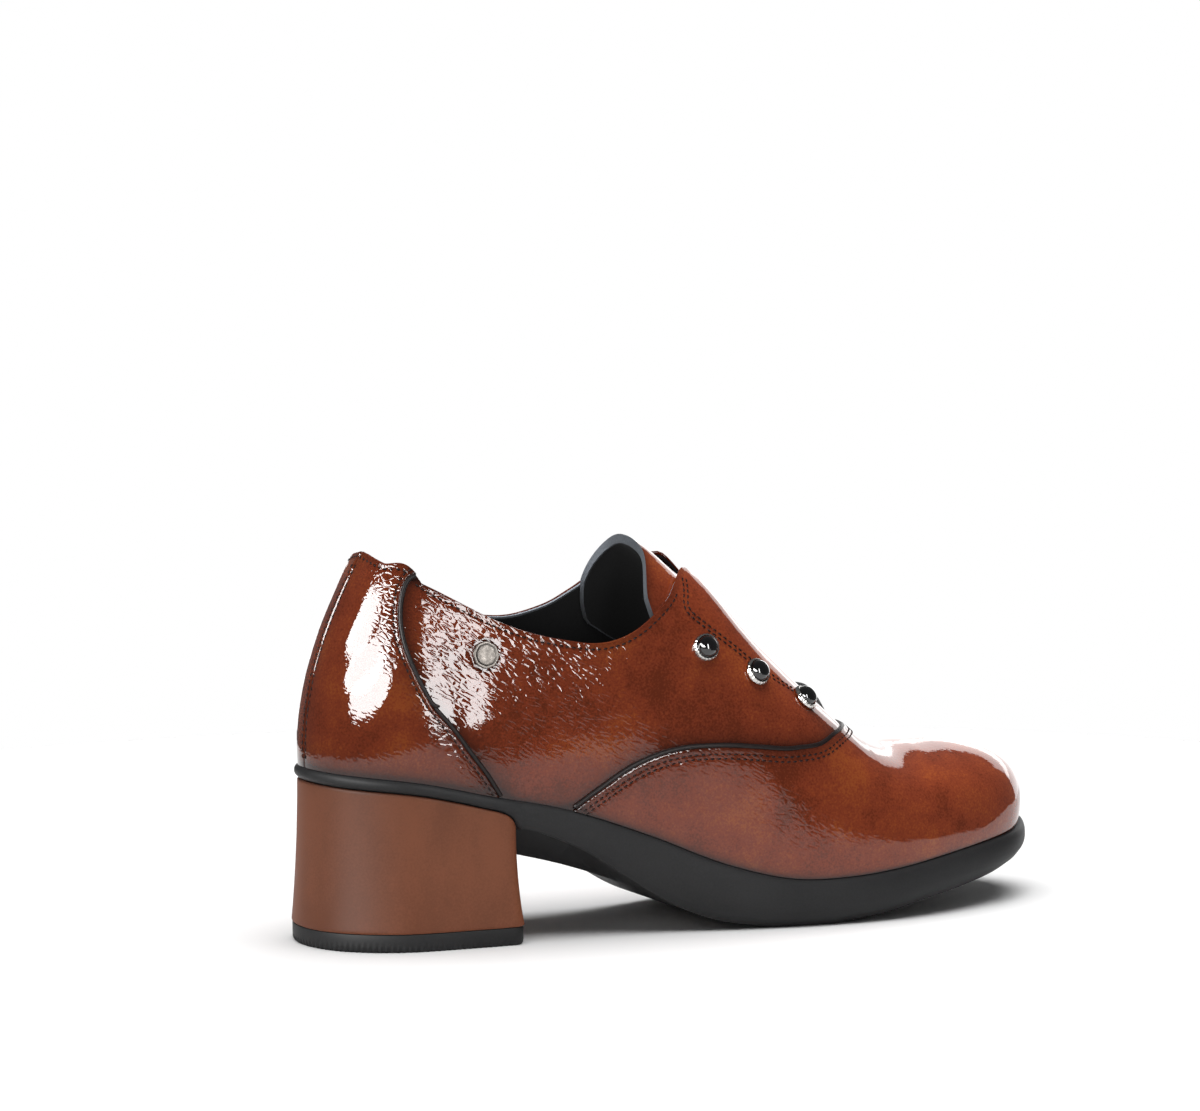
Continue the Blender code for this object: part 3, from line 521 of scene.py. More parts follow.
def tube(name, path, normals, radius, material):
    """A round cord along a path: circles in the plane of the path's normal and binormal, closed at both ends."""
    run = unit(np.gradient(path, axis=0))
    across = unit(np.cross(run, normals))
    lift = np.cross(across, run)
    angles = np.linspace(0, 2 * math.pi, 12, endpoint=False)[None, :, None]
    radii = np.full((len(path), 1, 1), radius)
    radii[[0, -1]] = 0
    rings = path[:, None] + radii * (np.cos(angles) * across[:, None] + np.sin(angles) * lift[:, None])
    return make_piece(name, rings, ring_faces(len(path), 12), material, sharp=60)


def resample(path, spacing):
    """Places along a path, as fractions of its point numbers, that are an even distance apart."""
    steps = np.linalg.norm(np.diff(path, axis=0), axis=1)
    run = np.concatenate([[0], np.cumsum(steps)])
    count = max(2, int(round(run[-1] / spacing)))
    return np.interp(np.linspace(0, run[-1], count + 1), run, np.arange(len(path)))


def read_at(values, place):
    """Values of a sampled line at fractional point numbers."""
    return np.stack([np.interp(place, np.arange(len(values)), values[:, k]) for k in range(values.shape[1])], -1)


def stitches(name, lines, material, pitch, thread):
    """Rows of lock stitches: each stitch is a short thread that rises out of the leather and dives back in.

    Its centre line is a straight step along the row, lifted by half a sine; its section is a hexagon that shrinks at
    both ends. lines holds pairs of points and normals along each row, and thread is the thread's radius.
    """
    share = np.linspace(0, 1, 6)
    fat = np.array([0.35, 0.85, 1.0, 1.0, 0.85, 0.35])[None, :, None, None] * thread
    lift = (np.sin(math.pi * share) * 1.25 - 0.7) * thread
    angles = np.linspace(0, 2 * math.pi, 6, endpoint=False)[None, None, :, None]
    verts = []
    for path, normals in lines:
        ends = resample(path, pitch)
        start = read_at(path, ends[:-1])
        run = (read_at(path, ends[1:]) - start) * STITCH_SHARE
        normal = unit(read_at(normals, (ends[:-1] + ends[1:]) / 2))
        across = unit(np.cross(normal, run))
        centre = start[:, None] + run[:, None] * share[None, :, None] + normal[:, None] * lift[None, :, None]
        ring = np.cos(angles) * across[:, None, None] + np.sin(angles) * normal[:, None, None]
        verts.append((centre[:, :, None] + ring * fat).reshape(-1, 36, 3))
    verts = np.concatenate(verts)
    fan = np.array([[0, 1, 2], [0, 2, 3], [0, 3, 4], [0, 4, 5]])
    one = np.concatenate([ring_faces(6, 6), fan[:, ::-1], fan + 30])
    faces = (one[None] + 36 * np.arange(len(verts))[:, None, None]).reshape(-1, 3)
    return make_piece(name, verts, faces, material, sharp=80)


def line_on(station, rise, side, stand):
    """Points and normals of a line on the last."""
    return last_surface(station, rise, side, stand), normal_at(station, rise, side)


def decked(name, levels, material):
    """A closed solid of levels from the bottom up, each an array [side, station, xyz], decked across the shoe."""
    loops = np.stack([np.concatenate([level[0], level[1][::-1]]) for level in levels]) - ORIGIN
    rows, count = loops.shape[:2]
    bottom = np.arange(count)
    deck = grid_faces(np.stack([bottom[:count // 2], bottom[::-1][:count // 2]]))
    faces = [ring_faces(rows, count), deck, deck[:, ::-1] + (rows - 1) * count]
    return make_piece(name, loops, np.concatenate(faces), material, sharp=35)


# Materials


def node(tree, kind, inputs=None, out=0, **settings):
    """Adds a shader node, sets its settings, fills its inputs or links sockets to them, and gives one output."""
    made = tree.nodes.new("ShaderNode" + kind)
    for key, value in settings.items():
        setattr(made, key, value)
    for key, value in (inputs or {}).items():
        if isinstance(value, bpy.types.NodeSocket):
            tree.links.new(value, made.inputs[key])
        else:
            made.inputs[key].default_value = value
    return made.outputs[out] if made.outputs else made


def blank(name, **values):
    """A new material with its tree, shader and object coordinates; values go on the shader's own sockets."""
    material = bpy.data.materials.new(name)
    material.use_nodes = True
    tree = material.node_tree
    shader = tree.nodes["Principled BSDF"]
    for key, value in values.items():
        shader.inputs[key.replace("_", " ")].default_value = value
    return material, tree, shader, node(tree, "TexCoord", out="Object")


def hex_colour(value):
    """sRGB hex to the linear colour that Blender's shaders take."""
    srgb = [int(value[k:k + 2], 16) / 255 for k in (1, 3, 5)]
    return tuple(c / 12.92 if c <= 0.04045 else ((c + 0.055) / 1.055) ** 2.4 for c in srgb)


def shade(colour, share=1.0):
    """A colour for a socket, darkened to a share of itself."""
    return (*(share * c for c in colour), 1)


def patent_leather(shoe):
    """Patent leather: burnished calf under a clear polyurethane film.

    The film gives mirror-sharp highlights. Where the hide was pulled over the last it is creased into pebbles about
    1 by 2 mm with narrow valleys, which break the highlights up. The colour is burnished by hand, in clouds of 10 to
    30 mm, peppered with pores 0.6 mm apart, and darkens towards edges and seams; the same dark also paints shade
    in the ring round the badge.
    """
    material, tree, shader, place = blank(
        "patent_leather", Roughness=0.5, Specular_IOR_Level=0.0, Coat_Weight=1.0, Coat_Roughness=0.03)
    clouds = node(tree, "TexNoise", {"Vector": place, "Scale": 42.0, "Detail": 5.0, "Roughness": 0.6,
                                     "Distortion": 0.3})
    pores = node(tree, "TexNoise", {"Vector": place, "Scale": 1500.0, "Detail": 2.0})
    tone = node(tree, "Math", {0: pores, 1: 0.6, 2: clouds}, operation="MULTIPLY_ADD")
    low = node(tree, "MapRange", {0: tone, 1: 0.62, 2: 0.82}, interpolation_type="SMOOTHSTEP")
    high = node(tree, "MapRange", {0: tone, 1: 0.80, 2: 1.06}, interpolation_type="SMOOTHSTEP")
    colour = node(tree, "Mix", {0: low, 6: shade(shoe.leather_dark), 7: shade(shoe.leather_colour)}, 2,
                  data_type="RGBA")
    colour = node(tree, "Mix", {0: high, 6: colour, 7: shade(shoe.leather_light)}, 2, data_type="RGBA")
    # burnish darkens the edges and seams, and also paints shade in the ring round the badge
    burnish = node(tree, "Attribute", out="Fac", attribute_name="burnish")
    colour = node(tree, "Mix", {0: burnish, 6: colour, 7: shade(shoe.edge_burnish_and_shade)}, 2, data_type="RGBA")
    tree.links.new(colour, shader.inputs["Base Color"])

    crease = node(tree, "Attribute", out="Fac", attribute_name="crease")
    drift = node(tree, "TexNoise", {"Vector": place, "Scale": 160.0, "Detail": 2.0}, "Color")
    drifted = node(tree, "VectorMath", {0: drift, 1: (0.0030, 0.0030, 0.0030), 2: place}, operation="MULTIPLY_ADD")
    turned = node(tree, "Mapping", {"Vector": drifted, "Rotation": (0.0, math.radians(30), 0.0),
                                    "Scale": (3.0, 1.2, 0.95)}, vector_type="TEXTURE")
    pebble = node(tree, "TexVoronoi", {"Vector": turned, "Scale": 680.0}, "Distance", feature="DISTANCE_TO_EDGE")
    flat = node(tree, "MapRange", {0: pebble, 1: 0.0, 2: 0.34}, interpolation_type="SMOOTHSTEP")
    fold = node(tree, "TexNoise", {"Vector": turned, "Scale": 380.0, "Detail": 2.0})
    height = node(tree, "Math", {0: fold, 1: 0.5, 2: flat}, operation="MULTIPLY_ADD")
    height = node(tree, "Math", {0: height, 1: shoe.grain_depth / MM}, operation="MULTIPLY")
    peel = node(tree, "TexNoise", {"Vector": place, "Scale": 300.0, "Detail": 2.0})
    swell = node(tree, "TexNoise", {"Vector": place, "Scale": 75.0, "Detail": 1.0})
    calm = node(tree, "Math", {0: peel, 1: 0.2, 2: swell}, operation="MULTIPLY_ADD")
    calm = node(tree, "Math", {0: calm, 1: 0.10}, operation="MULTIPLY")
    height = node(tree, "Math", {0: height, 1: crease, 2: calm}, operation="MULTIPLY_ADD")
    relief = node(tree, "Bump", {"Height": height, "Distance": MM})
    tree.links.new(relief, shader.inputs["Normal"])
    tree.links.new(relief, shader.inputs["Coat Normal"])
    return material


def lining_suede(shoe):
    """Black lining suede: brushed split leather, near black, with a soft sheen; its cut edge is greyish blue."""
    material, tree, shader, place = blank(
        "lining_suede", Roughness=0.9, Sheen_Weight=0.2, Sheen_Roughness=0.4, Specular_IOR_Level=0.2)
    nap = node(tree, "TexNoise", {"Vector": place, "Scale": 1100.0, "Detail": 3.0})
    cut = node(tree, "Attribute", out="Fac", attribute_name="cut")
    brushed = node(tree, "MapRange", {0: nap, 1: 0.3, 2: 0.7})
    black = node(tree, "Mix", {0: brushed, 6: shade(shoe.lining_colour, 0.55), 7: shade(shoe.lining_colour)}, 2,
                 data_type="RGBA")
    colour = node(tree, "Mix", {0: cut, 6: black, 7: shade(shoe.cut_edge)}, 2, data_type="RGBA")
    tree.links.new(colour, shader.inputs["Base Color"])
    tree.links.new(node(tree, "Bump", {"Height": nap, "Distance": 0.05 * MM}), shader.inputs["Normal"])
    return material


def mottled(name, colour, dark, scale, detail, relief=0.0, **values):
    """A material of two shades of a colour mixed by a noise, which also lifts the surface by the relief, if any.

    Gives the material, its tree, its shader and the noise.
    """
    material, tree, shader, place = blank(name, **values)
    noise = node(tree, "TexNoise", {"Vector": place, "Scale": scale, "Detail": detail})
    shades = node(tree, "Mix", {0: noise, 6: shade(colour, dark), 7: shade(colour)}, 2, data_type="RGBA")
    tree.links.new(shades, shader.inputs["Base Color"])
    if relief:
        tree.links.new(node(tree, "Bump", {"Height": noise, "Distance": relief}), shader.inputs["Normal"])
    return material, tree, shader, noise


def cut_edge(shoe):
    """Cut edge of the lining suede: grey blue, fuzzy and matt, with fibres about 0.6 mm apart so that they show."""
    return mottled("cut_suede_edge", shoe.cut_edge, 0.6, 1500.0, 3.0, 0.15 * MM, Roughness=0.95,
                   Specular_IOR_Level=0.2)[0]


def waxed_cord(shoe):
    """Piping: a cord wrapped in thin black leather, satin, with small cross wrinkles."""
    return mottled("piping_leather", shoe.piping_colour, 0.4, 700.0, 2.0, 0.08 * MM, Roughness=0.42,
                   Specular_IOR_Level=0.2)[0]


def polyester_thread(shoe):
    """Bonded polyester thread: twisted filaments with a slight gloss, darker in the bands of a wave that stands for
    the twist.
    """
    material, tree, shader, place = blank("polyester_thread", Roughness=0.5, Specular_IOR_Level=0.15)
    twist = node(tree, "TexWave", {"Vector": place, "Scale": 1200.0, "Distortion": 1.0}, "Fac")
    colour = node(tree, "Mix", {0: twist, 6: shade(shoe.thread_colour, 0.55), 7: shade(shoe.thread_colour)}, 2,
                  data_type="RGBA")
    tree.links.new(colour, shader.inputs["Base Color"])
    tree.links.new(node(tree, "Bump", {"Height": twist, "Distance": 0.03 * MM}), shader.inputs["Normal"])
    return material


def moulded_rubber(shoe):
    """Moulded polyurethane sole: matt black with a very fine spark-eroded texture and soft moulding variation."""
    material, tree, shader, place = blank("moulded_sole_rubber", Roughness=0.5, Specular_IOR_Level=0.16)
    grit = node(tree, "TexNoise", {"Vector": place, "Scale": 1600.0, "Detail": 2.0})
    cloud = node(tree, "TexNoise", {"Vector": place, "Scale": 35.0, "Detail": 3.0})
    tone = node(tree, "Math", {0: grit, 1: 0.5, 2: cloud}, operation="MULTIPLY_ADD")
    tone = node(tree, "MapRange", {0: tone, 1: 0.5, 2: 1.0})
    colour = node(tree, "Mix", {0: tone, 6: shade(shoe.sole_colour, 0.7), 7: shade(shoe.sole_colour)}, 2,
                  data_type="RGBA")
    tree.links.new(colour, shader.inputs["Base Color"])
    tree.links.new(node(tree, "MapRange", {0: cloud, 1: 0.3, 2: 0.7, 3: 0.46, 4: 0.58}), shader.inputs["Roughness"])
    tree.links.new(node(tree, "Bump", {"Height": grit, "Distance": 0.018 * MM}), shader.inputs["Normal"])
    return material


def covered_heel(shoe):
    """Painted ABS heel block: satin brown lacquer with faint brushed clouding and an orange-peel surface."""
    material, tree, shader, place = blank("lacquered_heel", Roughness=0.5, Specular_IOR_Level=0.12)
    strokes = node(tree, "Mapping", {"Vector": place, "Scale": (60.0, 60.0, 26.0)})
    cloud = node(tree, "TexNoise", {"Vector": strokes, "Scale": 1.0, "Detail": 4.0})
    speck = node(tree, "TexNoise", {"Vector": place, "Scale": 1500.0, "Detail": 2.0})
    tone = node(tree, "Math", {0: speck, 1: 0.4, 2: cloud}, operation="MULTIPLY_ADD")
    tone = node(tree, "MapRange", {0: tone, 1: 0.5, 2: 0.9}, interpolation_type="SMOOTHSTEP")
    colour = node(tree, "Mix", {0: tone, 6: shade(shoe.heel_colour, 0.78), 7: shade(shoe.heel_colour)}, 2,
                  data_type="RGBA")
    tree.links.new(colour, shader.inputs["Base Color"])
    tree.links.new(node(tree, "MapRange", {0: cloud, 1: 0.3, 2: 0.7, 3: 0.42, 4: 0.55}), shader.inputs["Roughness"])
    tree.links.new(node(tree, "Bump", {"Height": speck, "Distance": 0.012 * MM}), shader.inputs["Normal"])
    return material


def woven_elastic(shoe):
    """Woven elastic: black ribs 1 mm apart that run along the throat, with a fine cross weave."""
    material, tree, shader, _ = blank("woven_elastic", Roughness=0.75, Sheen_Weight=0.3, Sheen_Roughness=0.4)
    across = node(tree, "Attribute", out="Fac", attribute_name="across")
    along = node(tree, "Attribute", out="Fac", attribute_name="along")
    rib = node(tree, "Math", {0: across, 1: 2 * math.pi}, operation="MULTIPLY")
    rib = node(tree, "Math", {0: rib}, operation="SINE")
    weft = node(tree, "Math", {0: along, 1: 4 * math.pi}, operation="MULTIPLY")
    weft = node(tree, "Math", {0: weft}, operation="SINE")
    tone = node(tree, "MapRange", {0: rib, 1: -1.0, 2: 1.0})
    colour = node(tree, "Mix", {0: tone, 6: shade(shoe.elastic_colour, 0.4), 7: shade(shoe.elastic_colour)}, 2,
                  data_type="RGBA")
    tree.links.new(colour, shader.inputs["Base Color"])
    weave = node(tree, "Math", {0: weft, 1: 0.3, 2: rib}, operation="MULTIPLY_ADD")
    tree.links.new(node(tree, "Bump", {"Height": weave, "Distance": 0.10 * MM}), shader.inputs["Normal"])
    return material


def polished_nickel(shoe):
    """Nickel-plated brass, polished: a bright mirror with a little handling haze."""
    material, tree, shader, haze = mottled("polished_nickel", shoe.metal_colour, 0.75, 500.0, 3.0, Metallic=1.0)
    tree.links.new(node(tree, "MapRange", {0: haze, 1: 0.3, 2: 0.7, 3: 0.10, 4: 0.22}), shader.inputs["Roughness"])
    return material


def aged_nickel(shoe):
    """Cast nickel badge: satin, antiqued dark in the hollow and rubbed bright on the rim."""
    material, tree, shader, place = blank("aged_nickel", Metallic=1.0)
    scuff = node(tree, "TexNoise", {"Vector": place, "Scale": 900.0, "Detail": 4.0})
    hollow = node(tree, "Attribute", out="Fac", attribute_name="hollow")
    grime = node(tree, "MapRange", {0: scuff, 1: 0.2, 2: 0.8, 3: 0.45, 4: 0.95})
    grime = node(tree, "Math", {0: grime, 1: hollow}, operation="MULTIPLY")
    colour = node(tree, "Mix", {0: grime, 6: shade(shoe.badge_colour), 7: shade(shoe.badge_colour, 0.3)}, 2,
                  data_type="RGBA")
    tree.links.new(colour, shader.inputs["Base Color"])
    tree.links.new(node(tree, "MapRange", {0: scuff, 1: 0.3, 2: 0.7, 3: 0.36, 4: 0.5}), shader.inputs["Roughness"])
    tree.links.new(node(tree, "Bump", {"Height": scuff, "Distance": 0.03 * MM}), shader.inputs["Normal"])
    return material


def onyx_glass(shoe):
    """Black pressed-glass cabochon: deep black with a clear mirror polish and a few faint streaks."""
    return mottled("black_pressed_glass", shoe.stone_colour, 0.4, 260.0, 2.0, Roughness=0.06, Coat_Weight=1.0,
                   Coat_Roughness=0.02)[0]


def studio_paper(shoe):
    """Studio paper: matt white, with a faint uneven tooth."""
    return mottled("studio_paper", shoe.floor_colour, 0.97, 8.0, 2.0, Roughness=0.9, Specular_IOR_Level=0.1)[0]


FINISHES = {}


def finish(make, shoe):
    """The one material that a maker function gives, made once."""
    if make.__name__ not in FINISHES:
        FINISHES[make.__name__] = make(shoe)
    return FINISHES[make.__name__]


# Leather panels

TUCK = -0.004                     # radians of rise below the feather edge where the panels are tucked in
EDGE_SHARES = 1 - np.array([0.0200, 0.0130, 0.0085, 0.0055, 0.0035, 0.0020, 0.0010, 0.0004, 0.0])
QUARTER_DEPTH = 1.0 * MM          # leather of the quarters, turned over at the collar
LIFT_OFF = 0.03 * MM              # air between two layers
EDGE_ROUND = 0.7 * MM             # rounding of the overlays' edges
LINING_TOP = 0.004                # radians of rise that the lining stops short of the collar


def rolled(gap, inside, outside, radius):
    """Outer and inner stand of a sheet whose edge is rounded: a half ellipse over radius from the edge."""
    half = np.sqrt(1 - (1 - np.clip(gap / radius, 0, 1)) ** 2) / 2
    depth = outside - inside
    return inside + depth * (0.5 + half), inside + depth * (0.5 - half)


def counter_edge(share, side):
    """Stations and rises of the counter seam at shares of the way up to the collar."""
    station = counter_station(share)
    return station, share * top_rise(station, side)


def vamp_edge(count=500):
    """Stations and rises of the vamp's seam, from the sole to the middle of the throat."""
    station = np.linspace(VAMP_START, VAMP_CLOSED, count)
    return station, seam_rise(station)


def make_vamp(shoe):
    """The vamp from the feather edge to its seam, and over the ridge where it is closed in front of the throat.

    Its thickness is rounded off at the seam; two bell-shaped grooves follow the stitches, and a slow ripple keeps the
    leather from lying dead even. Creases gather along the seam, and in a bell-shaped patch low on the outer side.
    """
    station = np.concatenate([np.linspace(VAMP_START, VAMP_CLOSED, 110), np.linspace(VAMP_CLOSED, 2, 26)[1:],
                              np.linspace(2, 3, 80)[1:]])
    levels = np.concatenate([np.linspace(0, 0.96, 58), EDGE_SHARES])[:, None]
    outers, inners, burnish, crease = [], [], [], []
    for side in SIDES:
        rise = TUCK + (seam_rise(station) - TUCK) * levels
        where = np.broadcast_to(station, rise.shape)
        bare = last_surface(where, rise, side)
        gap = gap_to(last_surface(*vamp_edge(), side), bare)
        outside, inside = rolled(gap, LIFT_OFF, OVERLAY, EDGE_ROUND)
        groove = sum(bell(gap - row, 0.5 * MM) for row in VAMP_ROWS) * (where < VAMP_CLOSED)
        swell = ripple(bare, 22 * MM, 3) * 0.09 * MM * ease(3 * MM, 9 * MM, gap)
        outers.append(last_surface(where, rise, side, outside + swell - 0.08 * MM * groove))
        inners.append(last_surface(where, rise, side, inside))
        low = rise / math.radians(90)
        burnish.append(np.clip(0.75 * np.exp(-gap / (2.5 * MM)) + 0.9 * np.exp(-low / 0.012), 0, 1))
        patch = bell(where - 1.62, 0.10) * bell(np.degrees(rise) - 13, 8)
        seamside = (1 - ease(2 * MM, 11 * MM, gap)) * (1 - ease(1.62, 1.8, where))
        crease.append(0.10 + 0.45 * seamside + 0.45 * patch * (side < 0))
    met = np.concatenate([station >= VAMP_CLOSED, station[::-1] >= VAMP_CLOSED])
    item = shell("vamp", halves(*outers, toe=True), halves(*inners, toe=True), finish(patent_leather, shoe),
                 met=met, values={"burnish": halves(*burnish, toe=True), "crease": halves(*crease, toe=True)})


def make_quarter(side, name, shoe):
    """One quarter, from under the counter to under the vamp, up to the collar and the throat.

    The outer side has a bell-shaped hollow round the badge where it was pressed in, and painted shade darkens the
    ring of that hollow. Edges and seams are burnished by falling exponentials of the distance to them; creases are
    strongest behind the ankle.
    """
    corner = FLAP_CORNER[side]
    levels = np.concatenate([np.linspace(0, 0.965, 66), EDGE_SHARES])[:, None]
    start = station_after(counter_station(levels), -6 * MM)
    rear = start + (corner - start) * np.linspace(0, 1, 150)
    front = np.broadcast_to(np.linspace(corner, VAMP_CLOSED + 0.02, 52)[1:], (len(levels), 51))
    station = np.hstack([rear, front])
    rise = TUCK + (top_rise(station, side) - TUCK) * levels
    bare = last_surface(station, rise, side)
    gap = gap_to(bare[-1], bare)
    outside, inside = rolled(gap, -QUARTER_DEPTH, 0.0, 0.55 * MM)
    to_counter = gap_to(last_surface(*counter_edge(np.linspace(0, 1, 300), side), side), bare)
    to_vamp = gap_to(last_surface(*vamp_edge(), side), bare)
    swell = ripple(bare, 18 * MM, 5) * 0.09 * MM * ease(3 * MM, 8 * MM, gap)
    swell = swell + 0.30 * MM * np.exp(-to_counter / (8 * MM)) * ease(0, 6 * MM, gap)
    badge = turning_frame(BADGE_SPOT[0], math.radians(BADGE_SPOT[1]), -1)[0]
    ring = bell(np.linalg.norm(bare - badge, axis=-1) / (BADGE_DIAMETER / 2) - 1.1, 0.14)
    hollow = (0.12 * bell(gap - COLLAR_ROW, 0.55 * MM) + 0.25 * ring) * MM
    outer = last_surface(station, rise, side, outside + swell - hollow)
    inner = last_surface(station, rise, side, inside)
    burnish = 0.55 * np.exp(-gap / (1.6 * MM)) + 0.75 * np.exp(-(to_counter - 2 * MM).clip(0) / (3.5 * MM))
    burnish = burnish + 0.7 * np.exp(-(to_vamp - 1.5 * MM).clip(0) / (3 * MM)) + 0.8 * np.exp(-rise / 0.02)
    # painted shade: the ring round the badge is darkened as if in shadow, beside the real hollow pressed into the
    # leather
    burnish = burnish + 0.9 * ring
    crease = 0.07 + 0.85 * (1 - ease(1.20, 1.46, station)) * ease(6, 30, np.degrees(rise))
    crease = crease + 0.15 * (1 - ease(2 * MM, 7 * MM, gap))
    crease = crease * (1 - 0.75 * bell(station - 1.07, 0.045) * bell(np.degrees(rise) - 15, 7))
    item = shell(name, outer, inner, finish(patent_leather, shoe),
                 values={"burnish": burnish.clip(0, 1), "crease": crease.clip(0, 1)})
    return item


def make_counter(shoe):
    """The counter round the heel's back, both sides in one, with a seam down the middle of the back.

    It lies over the quarters near its own seam and dives to the lining behind them; grooves are bells under the
    stitches and the back seam.
    """
    levels = np.concatenate([np.linspace(0, 0.965, 64), EDGE_SHARES])[:, None]
    shares = np.concatenate([[0, 0.003, 0.006, 0.010, 0.015, 0.022], np.linspace(0.035, 0.955, 58), 1 - np.array(
        [0.035, 0.024, 0.016, 0.011, 0.007, 0.0045, 0.0025, 0.0012, 0.0004, 0.0])])
    outers, inners, burnish, crease = [], [], [], []
    for side in SIDES:
        station = counter_station(levels) * shares
        rise = TUCK + (top_rise(station, side) - TUCK) * levels
        bare = last_surface(station, rise, side)
        to_seam = gap_to(last_surface(*counter_edge(np.linspace(0, 1, 400), side), side), bare)
        to_top = gap_to(bare[-1], bare)
        to_back = gap_to(bare[:, 0], bare)
        edge = np.minimum(to_seam, to_top)
        under = LIFT_OFF - (QUARTER_DEPTH + LIFT_OFF) * ease(6.5 * MM, 9 * MM, to_seam)
        outside, inside = rolled(edge, under, OVERLAY, EDGE_ROUND)
        groove = 0.12 * bell(to_seam - COUNTER_ROW, 0.5 * MM) + 0.12 * bell(to_top - COLLAR_ROW, 0.55 * MM)
        groove = groove + 0.42 * bell(to_back, 0.45 * MM)
        swell = ripple(bare, 20 * MM, 8) * 0.16 * MM * ease(2 * MM, 8 * MM, edge) * ease(0.5 * MM, 4 * MM, to_back)
        outers.append(last_surface(station, rise, side, outside + swell - groove * MM))
        inners.append(last_surface(station, rise, side, inside))
        dark = 0.6 * np.exp(-to_seam / (3 * MM)) + 0.5 * np.exp(-to_top / (1.8 * MM)) + 0.9 * np.exp(-rise / 0.02)
        dark = dark + 0.35 * np.exp(-rise / 0.12) + 0.45 * np.exp(-to_back / (3 * MM))
        burnish.append(dark.clip(0, 1))
        rough = 0.10 + 0.8 * (1 - ease(2 * MM, 9 * MM, to_seam)) + 0.5 * (1 - ease(4 * MM, 15 * MM, to_top))
        crease.append(rough.clip(0, 1))
    item = shell("counter", halves(*outers), halves(*inners), finish(patent_leather, shoe),
                 values={"burnish": halves(*burnish), "crease": halves(*crease)})


def make_lining(shoe):
    """The lining: the last's surface one wall further in, all round the collar and closed over the toes.

    Its cut edge shows along the collar, but not along the inner flap, where it would stand over the tongue.
    """
    stops = (0, 1, FLAP_CORNER[1], FLAP_CORNER[-1], VAMP_CLOSED, 2, 3)
    spans = [np.linspace(low, high, count)[1:] for low, high, count in zip(stops, stops[1:], (60, 50, 8, 40, 16, 50))]
    station = np.concatenate([[0], *spans])
    levels = np.concatenate([np.linspace(0, 0.94, 34), 1 - np.array([0.04, 0.025, 0.015, 0.008, 0.003, 0.0])])[:, None]
    closed = station >= VAMP_CLOSED
    outers, inners, cuts = [], [], []
    for side in SIDES:
        top = np.where(closed, math.pi / 2, top_rise(station, side) - LINING_TOP)
        rise = TUCK + (top - TUCK) * levels
        where = np.broadcast_to(station, rise.shape)
        bare = last_surface(where, rise, side, -WALL)
        gap = gap_to(bare[-1, ~closed], bare)
        outers.append(last_surface(where, rise, side, -QUARTER_DEPTH - LIFT_OFF))
        inners.append(bare)
        cuts.append((1 - ease(0.35 * MM, 0.8 * MM, gap)) * (1 - (side > 0) * ease(1.38, 1.43, where)))
    item = shell("lining", halves(*outers, toe=True), halves(*inners, toe=True), finish(lining_suede, shoe),
                 ring=True, met=np.concatenate([closed, closed[::-1]]), values={"cut": halves(*cuts, toe=True)})


def make_piping(shoe):
    """Cords whose middle lines run 0.8 of their radius beside the overlays' edges, half sunk in the seam."""
    radius = shoe.piping_width / 2
    made, paths, turns = [], [], []
    for side, name in ((-1, "piping_counter_outer"), (1, "piping_counter_inner")):
        station, rise = beside(*counter_edge(np.linspace(-0.004, 0.998, 260), side), side, -0.8 * radius)
        path, normals = line_on(station, rise, side, 0.35 * radius)
        made.append(tube(name, path, normals, radius, finish(waxed_cord, shoe)))
        station, rise = vamp_edge(300)
        station, rise = beside(station[:-1], rise[:-1], side, 0.8 * radius)
        path, normals = line_on(station, np.minimum(rise, math.radians(89.5)), side, 0.35 * radius)
        paths.append(path)
        turns.append(normals)
    path = np.concatenate([paths[0], paths[1][::-1]])
    normals = np.concatenate([turns[0], turns[1][::-1]])
    place = resample(path, 0.8 * MM)
    made.append(tube("piping_vamp", read_at(path, place), read_at(normals, place), radius, finish(waxed_cord, shoe)))


def make_stitching(shoe):
    """All rows of stitches, grouped by the panel that they hold.

    A row is the panel's edge moved by its distance over the last; the flaps' row is a smooth curve through
    FLAP_STITCH, moved with the flap's corner.
    """
    rows = {"vamp": [], "counter": [], "collar": [], "flaps": []}
    knots = np.array(FLAP_STITCH)
    flap = np.column_stack([np.linspace(0, 1, len(knots)), knots])
    run = np.linspace(0, 1, 200)

    def sew(panel, station, rise, stand, *offsets):
        """Adds rows at distances beside a line on the side that is being sewn."""
        for offset in offsets:
            rows[panel].append(line_on(*beside(station, rise, side, offset), side, stand))

    for side in SIDES:
        station, rise = vamp_edge()
        sew("vamp", station[8:-3], rise[8:-3], 0.80 * MM, *(-row for row in VAMP_ROWS))
        sew("counter", *counter_edge(np.linspace(0.015, 0.985, 400), side), 0.82 * MM, COUNTER_ROW)
        sew("counter", np.full(300, 1e-3), np.linspace(0.03, 0.92, 300) * top_rise(np.zeros(300), side), 0.86 * MM,
            BACK_ROW)
        station = np.linspace(0.05, 0.915, 300)
        sew("collar", station, top_rise(station, side), 0.82 * MM, -COLLAR_ROW)
        station = np.linspace(0.985, FLAP_CORNER[side] - 0.055, 500)
        sew("collar", station, top_rise(station, side), -0.06 * MM, -COLLAR_ROW)
        station = smooth(flap, 1, run) + (FLAP_CORNER[side] - FLAP_CORNER[-1]) * (1 - run)
        sew("flaps", station, np.radians(smooth(flap, 2, run)), 0.02 * MM, *(-row for row in FLAP_ROWS))
    thread = finish(polyester_thread, shoe)
    made = [stitches(f"stitching_{panel}", lines, thread, shoe.stitch_pitch, shoe.thread_width / 2)
            for panel, lines in rows.items()]


# Tongue, elastic and sock


